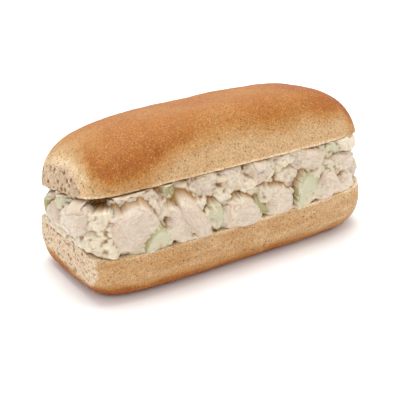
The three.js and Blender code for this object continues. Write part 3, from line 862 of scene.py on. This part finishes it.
def salad_surface(rays, chunks):
    """The dressing's skin: for each ray the last place that is inside the heap. The heap is the soft
    union -b log(sum of exp(-distance / b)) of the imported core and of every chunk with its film. Gives how
    far out on each ray the skin is, and how thick the dressing is packed round the core."""
    level = rays[-1]
    travel = np.arange(DEPTH_OF_RAYS, -0.01, -RAY_STEP)
    front = on_ray(rays, SALAD_INSET)
    film = film_thickness(front)
    notches = np.array(FOOT_NOTCHES)
    drawn_back = np.exp(-((front[..., :1] - notches[:, 0]) / notches[:, 1]) ** 2).max(-1)
    foot = PACKED_FOOT * (1 - ramp(level, 0.02, 0.24)) * (1 - 1.3 * drawn_back * (front[..., 1] < 0))
    packed = uneven(front, PACKED_LUMPS, 203) + foot
    points = np.stack([on_ray(rays, t) for t in travel])
    total = np.exp(-(core_distance(points, level) - packed) / BLEND)
    for chunk in chunks:
        columns = columns_near(rays, chunk, SKIN_SPARE)
        distance = chunk_distance(points[:, :, columns], chunk)[0] - film[chunk["kind"]][:, columns]
        total[:, :, columns] += np.exp(-np.maximum(distance, -4) / BLEND)
    inside = total > 1
    inside[-1] = True
    first = np.maximum(inside.argmax(0), 1)
    field = -BLEND * np.log(total)
    after = np.take_along_axis(field, first[None], 0)[0]
    before = np.take_along_axis(field, first[None] - 1, 0)[0]
    share = np.clip(before / np.maximum(before - after, 1e-6), 0, 1)
    return travel[first] + RAY_STEP * (1 - share), packed


def bead_relief(points, beads):
    """Beads and hollows, a little out of round, on a grid of points. Each is given by its place on the
    grid, its radius r and its height, which is negative for a hollow. At a distance d from its middle a
    bead rises its height times the square root of 1 - d^2 / r^2; a hollow's edge is smoothed as well."""
    rise, sink = np.zeros((2, *points.shape[:2]))
    rows, around = rise.shape
    for (row, column), radius, height in beads:
        span = int(radius * 4) + 2
        i = np.arange(max(row - span, 0), min(row + span + 1, rows))
        j = np.arange(column - span, column + span + 1) % around
        near = np.ix_(i, j)
        away = np.linalg.norm(points[near] - points[row, column], axis=-1) / radius
        away *= 1 + 0.5 * lumps(points[near], 1.7, 215)
        dome = np.sqrt(np.maximum(1 - away ** 2, 0))
        if height > 0:
            rise[near] = np.maximum(rise[near], height * dome)
        else:
            sink[near] = np.minimum(sink[near], height * ramp(dome, 0, 1))
    return rise + sink


def nearest_place(points, x, y, above):
    """The row and column of a grid of points nearest to a place above the heel's cut face."""
    away = np.linalg.norm(points - (x, y, HEEL_HEIGHT + above), axis=-1)
    return tuple(int(i) for i in np.unravel_index(away.argmin(), away.shape))


def dressing_beads(points, patchy):
    """Small lumps of dressing and finely cut bits in it, and the hollows between them: those scattered by
    a rule, thickest where patchy is high, and those of the tables. A crevice is a row of hollows along
    its line."""
    beads = []
    rows, around = points.shape[:2]
    for i in range(BEAD_COUNT):
        place = int(draw(i, 31) * rows), int(draw(i, 32) * around)
        wanted = patchy[place] + 0.5 * (draw(i, 33) - 0.5)
        if wanted > LUMPY:
            radius = 0.7 + 1.0 * draw(i, 34) ** 2
            beads.append((place, radius, radius * (0.45 + 0.35 * draw(i, 35))))
        elif wanted < SMOOTH:
            radius = 0.6 + 0.9 * draw(i, 36)
            beads.append((place, radius, -radius * (0.3 + 0.5 * draw(i, 37))))
    spots = [(*spot, 0.85 * spot[3]) for spot in BEADS]
    hollows = [(along, front_line(along, above), above, *size) for along, above, *size in HOLLOWS]
    for line in CREVICES:
        steps = np.linspace(0, len(line) - 1, CREVICE_STEPS * (len(line) - 1))
        hollows += zip(*(np.interp(steps, range(len(line)), numbers) for numbers in zip(*line)))
    spots += [(x, y, above, HOLLOW_WIDENING * radius, -depth) for x, y, above, radius, depth in hollows]
    for k, (along, above, spread) in enumerate(CLUSTERS):
        for i in range(int(1.3 * spread ** 1.5)):
            angle, away = 2 * np.pi * draw(i, 41 + k), spread * draw(i, 51 + k) ** 0.6
            there, up = along + away * np.cos(angle), above + 0.7 * away * np.sin(angle)
            radius = 0.8 + 0.8 * draw(i, 61 + k)
            spots.append((there, front_line(there, up), up, radius, 0.75 * radius))
    return beads + [(nearest_place(points, x, y, above), *size) for x, y, above, *size in spots]


def make_dressing(chunks, material):
    """The dressing: the skin over all the chunks, moved along its normals by beads, hollows, fibres of the
    chicken under a thin film and knobs of two sizes, closed over the heel and under the crown by rings
    drawn in to the middle. Each chunk tints it by exp(-distance / b) over the sum of all of these. It is
    darkened by painted shade where it lies deep, or deeper than its softened surroundings, in a band
    under the crown's rim, and on the rings drawn in."""
    rays = salad_rays()
    level = rays[-1]
    chunks = chunks + small_bits(rays)
    travel, packed = salad_surface(rays, chunks)
    points = on_ray(rays, travel)
    chicken, celery, fibres = np.zeros((3, *travel.shape))
    everything = np.exp(-np.maximum(core_distance(points, level) - packed, -1) / TINT_BLEND)
    for chunk in chunks:
        columns = columns_near(rays, chunk, TINT_SPARE)
        distance, own = chunk_distance(points[:, columns], chunk)
        weight = np.exp(-np.maximum(distance, -1) / TINT_BLEND)
        everything[:, columns] += weight
        if chunk["kind"] == "chicken":
            chicken[:, columns] += weight
            fibres[:, columns] += weight * lumps(own / (5, 1, 1), 1, chunk["seed"])
        elif chunk["kind"] in CELERY_KINDS:
            celery[:, columns] += weight
    chicken, celery, fibres = chicken / everything, celery / everything, fibres / everything

    patchy = 0.55 + 0.4 * lumps(points, 9, 211) - 0.3 * chicken - 0.2 * celery
    creamy = 1 - 0.5 * chicken - 0.4 * celery
    height = soften(bead_relief(points, dressing_beads(points, patchy)), 1)
    height += 0.15 * fibres + 0.4 * (knobs(points, 3.4, 213) - 0.5) * creamy
    height += 0.42 * (knobs(points, 1.9, 214) - 0.5) * (0.6 + 0.4 * creamy)
    # The relief fades out on the two rims, but for deep hollows.
    inner_rows = ramp(level, 0, 0.03) * (1 - ramp(level, 0.97, 1))
    relief = height * np.maximum(inner_rows, ramp(-height, 0.3, 1.8))
    moved = points + grid_normals(points) * relief[..., None]
    lowest = salad_limits(moved[..., 0], moved[..., 1])[0]
    highest = bread_limits(moved[..., 1])[1]
    moved[..., 2] = np.clip(moved[..., 2], lowest, highest)

    depth = travel + height
    # The hollow value is painted shade: where the skin lies deep, in a band at the top under the crown's
    # rim, and in valleys of three widths.
    shaded = 1 - ramp(beyond_crown(points[..., 0], points[..., 1]), -0.5, 1.5)
    hollow = ramp(SALAD_INSET - depth, DEEP_SHADE_START, DEEP_SHADE_FULL)
    hollow += 0.4 * shaded * ramp(level + 0.06 * lumps(points, 5, 216), 0.92, 1.0)
    for times, strength, least, most in VALLEY_SHADE:
        hollow += strength * ramp(soften(depth, times) - depth, least, most)
    hollow = np.clip(hollow, 0, 1)

    drawn_in = np.stack([DRAWN_IN, DRAWN_IN, np.ones(len(DRAWN_IN))], axis=-1)[:, None]
    floor_rings, roof_rings = moved[0] * drawn_in, moved[-1] * drawn_in
    floor_rings[..., 2] = salad_limits(floor_rings[..., 0], floor_rings[..., 1])[0]
    roof_rings[..., 2] = salad_limits(roof_rings[..., 0], roof_rings[..., 1])[1]
    under_crown = 1 - ramp(beyond_crown(roof_rings[..., 0], roof_rings[..., 1]), -0.5, 1.5)
    roof_rings[..., 2] -= 0.8 * knobs(roof_rings, 2.4, 217) * (1 - under_crown)
    rings = np.concatenate([floor_rings[::-1], moved, roof_rings])
    blank = np.zeros(under_crown.shape)
    # The rings drawn in between bread and chunks take painted shade; those of the roof only where the crown
    # covers them.
    layers = {
        "chicken": (blank, chicken, blank + chicken[-1]),
        "celery": (blank, celery, blank + celery[-1]),
        "hollow": (blank + INSIDE_SHADE, hollow, INSIDE_SHADE * under_crown),
    }
    values = {key: skin_values(np.concatenate(parts)) for key, parts in layers.items()}
    make_piece("mayonnaise_dressing", skin_points(rings), *ring_faces(*rings.shape[:2]), values,
               "chicken_salad", "salad", material)


# Points round a chunk, rings on the side that shows and rings behind: for the chunks in the photograph,
# and for those at the back and the right end.
FINE_BLOCK = (96, 40, 6)
PLAIN_BLOCK = (56, 22, 5)

# A slice of celery: how square its edges are, how many strings its skin has, and as shares of its half width
# or its height, how much these stand out and how far its hollow reaches across and up.
CELERY_SQUARENESS = 6
STRING_COUNT = 9
STRING_HEIGHT = 0.035
STALK_HOLLOW = (0.5, 0.3)


def block_directions(chunk):
    """Directions from a chunk's middle, in rings about -Y, the way it faces: close in front, wide behind."""
    shown = chunk["seed"] <= len(FRONT_CHUNKS) + len(LEFT_CHUNKS)
    around, front, behind = FINE_BLOCK if shown else PLAIN_BLOCK
    polar = np.concatenate([np.linspace(2.5, 100, front), np.linspace(112, 172, behind)])
    polar = np.radians(polar)[:, None]
    turn = np.arange(around) * 2 * np.pi / around
    return np.stack([
        np.sin(polar) * np.cos(turn), -np.cos(polar) + 0 * turn, -np.sin(polar) * np.sin(turn),
    ], axis=-1)


def chicken_block(chunk):
    """A dice of chicken, moved along its normals: by smooth noise and knobs stretched along its length,
    for the fibres, by smooth noise and fine knobs, and in by splits where stretched noise is near 0 and
    wide noise is high. Gives its points and its own coordinates, pressed together along its length."""
    seed = chunk["seed"]
    way = block_directions(chunk)
    own = way / dice_size(way, seed)[..., None] * chunk["half"]
    stretched = own / (6, 1, 1)
    height = 0.16 * lumps(stretched, 1.3, seed) + 0.25 * lumps(own, 3.6, seed + 60)
    height += 0.5 * (knobs(own / (1.8, 1, 1), 2.4, seed + 90) - 0.5)
    height += 0.42 * (knobs(own, 1.5, seed + 150) - 0.5)
    split = np.abs(lumps(own / (3.2, 1, 1), 2.6, seed + 120))
    height -= 0.5 * (1 - ramp(split, 0.0, 0.1)) * ramp(lumps(own, 6, seed + 180), 0.1, 0.4)
    own = own + grid_normals(own) * height[..., None]
    return own @ chunk["turn"].T + chunk["middle"], stretched


def celery_block(chunk):
    """A slice of a celery stalk: the rounded block bent so that its length follows the half round of the
    stalk and its height goes from the hollow to the skin, which has shallow strings. Gives its points
    and, for each, the angle round the stalk, how near the skin it is and its place across the cut."""
    way = block_directions(chunk)
    unit = way / (np.abs(way) ** CELERY_SQUARENESS).sum(-1, keepdims=True) ** (1 / CELERY_SQUARENESS)
    around, across, outward = np.moveaxis(unit, -1, 0)
    angle = np.pi * (1 - (around + 1) / 2)
    share = (outward + 1) / 2
    strings = STRING_HEIGHT * np.cos(2 * STRING_COUNT * angle) * ramp(share, 0.8, 1.0)
    out_x, out_z = (inner + (1 - inner + strings) * share for inner in STALK_HOLLOW)
    half = chunk["half"] if chunk["kind"] == "slice" else chunk["half"][[2, 0, 1]]
    own = np.stack([np.cos(angle) * out_x, across, 2 * np.sin(angle) * out_z - 1], axis=-1) * half
    own = own + grid_normals(own) * (0.12 * lumps(own, 2.2, chunk["seed"]))[..., None]
    if chunk["kind"] == "rib":
        own = np.stack([-own[..., 1], -own[..., 2], own[..., 0]], axis=-1)
    return own @ chunk["turn"].T + chunk["middle"], np.stack([angle * 3, share, across], axis=-1)


def make_blocks(name, kinds, chunks, block, material):
    """Every chunk of those kinds in one mesh, pressed flat where it meets either half of the roll."""
    points, owns, quads, ends = [], [], [], []
    for chunk in [c for c in chunks if c["kind"] in kinds]:
        rings, own = block(chunk)
        faces = ring_faces(*rings.shape[:2], first=sum(map(len, points)))
        points.append(skin_points(rings))
        owns.append(skin_points(own))
        quads.append(faces[0])
        ends.append(faces[1])
    points = np.concatenate(points)
    lowest, highest = salad_limits(points[:, 0], points[:, 1])
    highest = highest - COVER_OF_BLOCKS - 0.7 * knobs(points, 2.4, 218)
    points[:, 2] = np.clip(points[:, 2], lowest, highest)
    make_piece(name, points, np.concatenate(quads), np.concatenate(ends), {"own": np.concatenate(owns)},
               "chicken_salad", "salad", material)


# Materials

def linear(colour):
    """The linear RGBA of an sRGB hex colour."""
    shares = [int(colour[i:i + 2], 16) / 255 for i in (1, 3, 5)]
    return tuple(s / 12.92 if s <= 0.04045 else ((s + 0.055) / 1.055) ** 2.4 for s in shares) + (1.0,)


def add(tree, kind, inputs=None, stops=None, **settings):
    """Adds a node and gives its outputs. inputs has, by a socket's name or number, a value or another
    node's output to link; stops has a colour ramp's places and sRGB colours; settings are the node's
    own."""
    node = tree.nodes.new("ShaderNode" + kind)
    for key, value in settings.items():
        setattr(node, key, value)
    for key, value in (inputs or {}).items():
        if isinstance(value, bpy.types.NodeSocket):
            tree.links.new(value, node.inputs[key])
        else:
            node.inputs[key].default_value = value
    for i, (place, colour) in enumerate(stops or ()):
        points = node.color_ramp.elements
        point = points[i] if i < 2 else points.new(place)
        point.position, point.color = place, linear(colour)
    return node.outputs


def new_material(name, *keys):
    """A material with nothing in its tree yet but nodes that read the mesh's values by those keys. Gives
    the material, its tree and those nodes' outputs."""
    material = bpy.data.materials.new(name)
    material.use_nodes = True
    tree = material.node_tree
    tree.nodes.clear()
    return material, tree, [add(tree, "Attribute", attribute_name=key) for key in keys]


def specks(tree, place, size, radii, strength, side, limit):
    """Round specks, at most one in a cell of that size in mm, and only in the cells whose random number
    is on that side of the limit. A speck fades from its strength to 0 between two radii, given in
    cells."""
    cells = add(tree, "TexVoronoi", {"Vector": place, "Scale": 1 / (size * MM)})
    speck = add(tree, "MapRange", {0: cells["Distance"], 1: radii[0], 2: radii[1], 3: strength, 4: 0.0})[0]
    chosen = add(tree, "Math", {0: cells["Color"], 1: limit}, operation=side)[0]
    return add(tree, "Math", {0: speck, 1: chosen}, operation="MULTIPLY")[0]


def finished(material, tree, colour, relief, strength, depth, finish):
    """The material with that colour, a bump up to depth mm high from the relief, and the rest of its
    finish."""
    bump = add(tree, "Bump", {"Strength": strength, "Distance": depth * MM, "Height": relief})[0]
    shader = add(tree, "BsdfPrincipled", {"Base Color": colour, "Normal": bump, **finish})[0]
    add(tree, "OutputMaterial", {"Surface": shader})
    return material


def wheat_bread():
    """Light wheat bread, oven baked. Bran and flour give grit of lighter and darker dots, the sides stay
    pale where rolls touch in the tin, the top and the base brown, and the torn crumb is paler with small
    dark pores, which are painted shade; what lies in a pit or the crease is darkened by painted shade too.
    Bright specks on the browned crust are painted highlights, where light would catch tiny bumps. The
    crust is dry: rough, with a faint sheen. Real grit and bran, and the bumps that the highlights stand
    for, are about half as wide as these, which are drawn as coarse as they need to be to show in the
    render."""
    material, tree, values = new_material("wheat_bread_oven_baked", "bake", "crumb", "hole")
    bake, torn, hole = (value["Fac"] for value in values)
    place = add(tree, "TexCoord")["Object"]

    # Uneven browning, in patches of 5 mm.
    mottle = add(tree, "TexNoise", {"Vector": place, "Scale": 1 / (5 * MM), "Detail": 3.0})["Fac"]
    browned = add(tree, "Math", {0: mottle, 1: 0.2, 2: bake}, operation="MULTIPLY_ADD")[0]
    crust = add(tree, "ValToRGB", {"Fac": browned}, stops=(
        (0.0, "#e8cfb0"), (1.0, "#984e10"), (0.15, "#cfab7e"), (0.3, "#c29b6d"), (0.45, "#bd8e59"),
        (0.65, "#b58147"), (0.82, "#a96a28"),
    ))["Color"]

    # The crumb's small pores, up to a millimetre wide in most cells of 2 mm, drawn out across the roll: dark
    # specks of painted shade, where the mesh has no hole.
    across = add(tree, "VectorMath", {0: place, 1: (1.0, 0.6, 1.0)}, operation="MULTIPLY")[0]
    pore = specks(tree, across, 2.0, (0.16, 0.34), 0.9, "LESS_THAN", 0.7)
    crumb = add(tree, "Mix", {0: pore, 6: linear("#d8bfa0"), 7: linear("#916640")}, data_type="RGBA")[2]
    colour = add(tree, "Mix", {0: torn, 6: crust, 7: crumb}, data_type="RGBA")[2]

    # Brown flakes of bran in most cells of 2 mm, and painted highlights on the browned crust: bright
    # specks in most cells of a millimetre, where light would catch tiny bumps. What lies in a pore, a pit or
    # the crease is darker: painted shade.
    flake = specks(tree, place, 2.0, (0.12, 0.3), 0.75, "LESS_THAN", 0.6)
    glint_speck = specks(tree, place, 1.0, (0.1, 0.42), 0.4, "GREATER_THAN", 0.4)
    topmost = add(tree, "MapRange", {0: bake, 1: 0.4, 2: 0.6, 3: 0.0, 4: 1.0})[0]
    glint_speck = add(tree, "Math", {0: glint_speck, 1: topmost}, operation="MULTIPLY")[0]
    for share, tint in ((flake, "#8a5522"), (glint_speck, "#dfb07a"), (hole, "#8a6036")):
        colour = add(tree, "Mix", {0: share, 6: colour, 7: linear(tint)}, data_type="RGBA")[2]

    # Grit: each 0.8 mm a little lighter or darker than the next.
    grit = add(tree, "TexNoise", {
        "Vector": place, "Scale": 1 / (0.8 * MM), "Detail": 2.0, "Roughness": 0.7,
    })["Fac"]
    shade = add(tree, "MapRange", {0: grit, 1: 0.3, 2: 0.7, 3: 0.62, 4: 1.26})[0]
    colour = add(tree, "VectorMath", {0: colour, "Scale": shade}, operation="SCALE")[0]
    return finished(material, tree, colour, grit, 0.5, 0.25, {
        "Roughness": 0.58, "IOR": 1.45, "Specular IOR Level": 0.35,
        "Subsurface Weight": 0.1, "Subsurface Radius": (1.0, 0.6, 0.3), "Subsurface Scale": 0.8 * MM,
    })


# What all of the salad has: light soaks into it, and a thin clear wet film lies on it.
WET = {"IOR": 1.42, "Subsurface Weight": 1.0, "Coat Roughness": 0.2, "Coat IOR": 1.4}


def mayonnaise():
    """Mayonnaise dressing, whipped and stirred: a smooth pale cream, glossy when fresh, that light soaks
    into. It takes a pink tint over the chicken and a green one over the celery. Painted shade turns it
    yellow brown in the hollows, under the crown's rim and between its smallest curds."""
    keys = ("chicken", "celery", "hollow")
    material, tree, values = new_material("mayonnaise_dressing_stirred", *keys)
    chicken, celery, hollow = (value["Fac"] for value in values)
    place = add(tree, "TexCoord")["Object"]
    cloud = add(tree, "TexNoise", {"Vector": place, "Scale": 1 / (3.5 * MM), "Detail": 3.0})["Fac"]
    meaty = add(tree, "Math", {0: chicken, 1: 0.7}, operation="MULTIPLY")[0]
    leafy = add(tree, "Math", {0: celery, 1: 0.6}, operation="MULTIPLY")[0]
    # Between its smallest curds, 1.3 mm across, where the bump's relief is low, it is darkened yellow tan:
    # painted shade.
    curds = add(tree, "TexNoise", {"Vector": place, "Scale": 1 / (1.3 * MM), "Detail": 2.0})["Fac"]
    thin = add(tree, "MapRange", {0: curds, 1: 0.3, 2: 0.52, 3: 0.25, 4: 0.0})[0]
    # The yellow brown tint by the hollow value is painted shade.
    colour = linear("#cdbfa2")
    for share, tint in (
        (cloud, "#e9dfcf"), (meaty, "#d5c4b1"), (leafy, "#c8c0a2"), (hollow, "#a0702c"), (thin, "#c0a27a"),
    ):
        colour = add(tree, "Mix", {0: share, 6: colour, 7: linear(tint)}, data_type="RGBA")[2]
    return finished(material, tree, colour, curds, 0.5, 0.4, {
        **WET, "Roughness": 0.35, "Coat Weight": 0.5,
        "Subsurface Radius": (1.0, 0.75, 0.45), "Subsurface Scale": 0.5 * MM,
    })


def chicken_breast():
    """Poached chicken breast, diced: pale pinkish cream meat, moist from the dressing. Its fibres run
    along each dice; real ones are finer than these 0.7 mm, which is as coarse as they need to be to show."""
    material, tree, (along,) = new_material("chicken_breast_poached_and_diced", "own")
    place = add(tree, "TexCoord")["Object"]
    # The mesh's own coordinates are in mm, pressed together along the fibres, so the scale is per mm.
    fibre = add(tree, "TexNoise", {
        "Vector": along["Vector"], "Scale": 1.5, "Detail": 3.0, "Roughness": 0.6,
    })["Fac"]
    streak = add(tree, "MapRange", {0: fibre, 1: 0.35, 2: 0.62, 3: 0.5, 4: 0.0})[0]
    cloud = add(tree, "TexNoise", {"Vector": place, "Scale": 1 / (5 * MM), "Detail": 2.0})["Fac"]
    colour = linear("#cfbfac")
    for share, tint in ((cloud, "#ddd0c2"), (streak, "#bb9a7c")):
        colour = add(tree, "Mix", {0: share, 6: colour, 7: linear(tint)}, data_type="RGBA")[2]
    return finished(material, tree, colour, fibre, 0.5, 0.3, {
        **WET, "Roughness": 0.42, "Coat Weight": 0.25,
        "Subsurface Radius": (1.0, 0.6, 0.4), "Subsurface Scale": 0.6 * MM,
    })


def celery_stalk():
    """Raw celery, sliced: watery pale green flesh that light soaks into, a greener skin with darker
    grooves between its strings, and small dots where the strings are cut."""
    material, tree, (own,) = new_material("celery_raw_and_sliced", "own")
    place = add(tree, "TexCoord")["Object"]
    outward = add(tree, "SeparateXYZ", {0: own["Vector"]})[1]
    cloud = add(tree, "TexNoise", {"Vector": place, "Scale": 1 / (2.5 * MM), "Detail": 2.0})["Fac"]
    skin = add(tree, "MapRange", {0: outward, 1: 0.72, 2: 0.98, 3: 0.0, 4: 1.0})[0]
    spots = add(tree, "TexVoronoi", {"Vector": place, "Scale": 1 / (1.6 * MM)})["Distance"]
    dot = add(tree, "MapRange", {0: spots, 1: 0.1, 2: 0.25, 3: 0.3, 4: 0.0})[0]
    colour = linear("#bbb694")
    for share, tint in ((cloud, "#cfcab1"), (skin, "#a89f6e"), (dot, "#948f59")):
        colour = add(tree, "Mix", {0: share, 6: colour, 7: linear(tint)}, data_type="RGBA")[2]
    fine = add(tree, "TexNoise", {"Vector": place, "Scale": 1 / (0.7 * MM)})["Fac"]
    return finished(material, tree, colour, fine, 0.4, 0.2, {
        **WET, "Roughness": 0.3, "Coat Weight": 0.4,
        "Subsurface Radius": (1.0, 0.9, 0.5), "Subsurface Scale": 0.8 * MM,
    })


# Floor, lights and camera: places and sizes in metres, power in watts.

FLOOR_REACH = 3.0
LIGHT_TARGET = (0, 0, 0.03)
SOFTBOXES = (
    ("key_softbox", (0.05, 0.15, 1.05), 0.8, 7),
    ("fill_softbox", (-0.5, -0.9, 0.7), 0.5, 0.35),
)


def photo_floor():
    """A plain white studio floor, matt."""
    material, tree, _ = new_material("white_studio_paper_matt")
    shader = add(tree, "BsdfPrincipled", {
        "Base Color": linear("#fbfbfb"), "Roughness": 0.9, "Specular IOR Level": 0.0,
    })[0]
    add(tree, "OutputMaterial", {"Surface": shader})
    mesh = bpy.data.meshes.new("studio_floor")
    corners = [(x * FLOOR_REACH, y * FLOOR_REACH, 0) for x, y in ((-1, -1), (1, -1), (1, 1), (-1, 1))]
    mesh.from_pydata(corners, [], [(0, 1, 2, 3)])
    mesh.materials.append(material)
    floor = bpy.data.objects.new("studio_floor", mesh)
    bpy.context.scene.collection.objects.link(floor)


def aim(thing, place, target):
    """Puts a camera or light at a place, looking at a target, both in metres."""
    thing.location = place
    thing.rotation_mode = "QUATERNION"
    thing.rotation_quaternion = (Vector(target) - Vector(place)).to_track_quat("-Z", "Y")
    bpy.context.scene.collection.objects.link(thing)


def area_light(name, place, size, power):
    """A square white softbox that looks at the sandwich."""
    lamp = bpy.data.lights.new(name, "AREA")
    lamp.size, lamp.energy = size, power
    aim(bpy.data.objects.new(name, lamp), place, LIGHT_TARGET)


# The camera stands where the photograph was taken from: azimuth and elevation in degrees, distance in mm.
CAMERA_AZIMUTH = -34.2
CAMERA_ELEVATION = 25.6
CAMERA_DISTANCE = 685.2
CAMERA_TARGET = (-3.0, 0.0, 22.35)
CAMERA_LENS = 132.3
CAMERA_FILM = 36


def photo_camera():
    """A long lens at the photograph's angle."""
    azimuth, elevation = math.radians(CAMERA_AZIMUTH), math.radians(CAMERA_ELEVATION)
    across, up = math.cos(elevation), math.sin(elevation)
    back = Vector((math.sin(azimuth) * across, -math.cos(azimuth) * across, up))
    target = (Vector(CAMERA_TARGET) + Vector(SHIFT)) * MM
    camera = bpy.data.cameras.new("photo_camera")
    camera.lens, camera.sensor_width = CAMERA_LENS, CAMERA_FILM
    holder = bpy.data.objects.new("photo_camera", camera)
    aim(holder, target + back * CAMERA_DISTANCE * MM, target)
    bpy.context.scene.camera = holder


def studio_light():
    """White surroundings, and two large softboxes: the key overhead, the fill low on the left."""
    world = bpy.data.worlds.new("white_studio")
    world.use_nodes = True
    background = world.node_tree.nodes["Background"]
    background.inputs["Color"].default_value = linear("#ffffff")
    background.inputs["Strength"].default_value = 1.0
    bpy.context.scene.world = world
    for softbox in SOFTBOXES:
        area_light(*softbox)
    bpy.context.scene.view_settings.view_transform = "Standard"
    bpy.context.scene.view_settings.look = "None"


bread = wheat_bread()
make_heel(bread)
make_crown(bread)
chunks = all_chunks()
make_dressing(chunks, mayonnaise())
make_blocks("diced_chicken", ("chicken",), chunks, chicken_block, chicken_breast())
make_blocks("celery_slices", CELERY_KINDS, chunks, celery_block, celery_stalk())
photo_floor()
photo_camera()
studio_light()
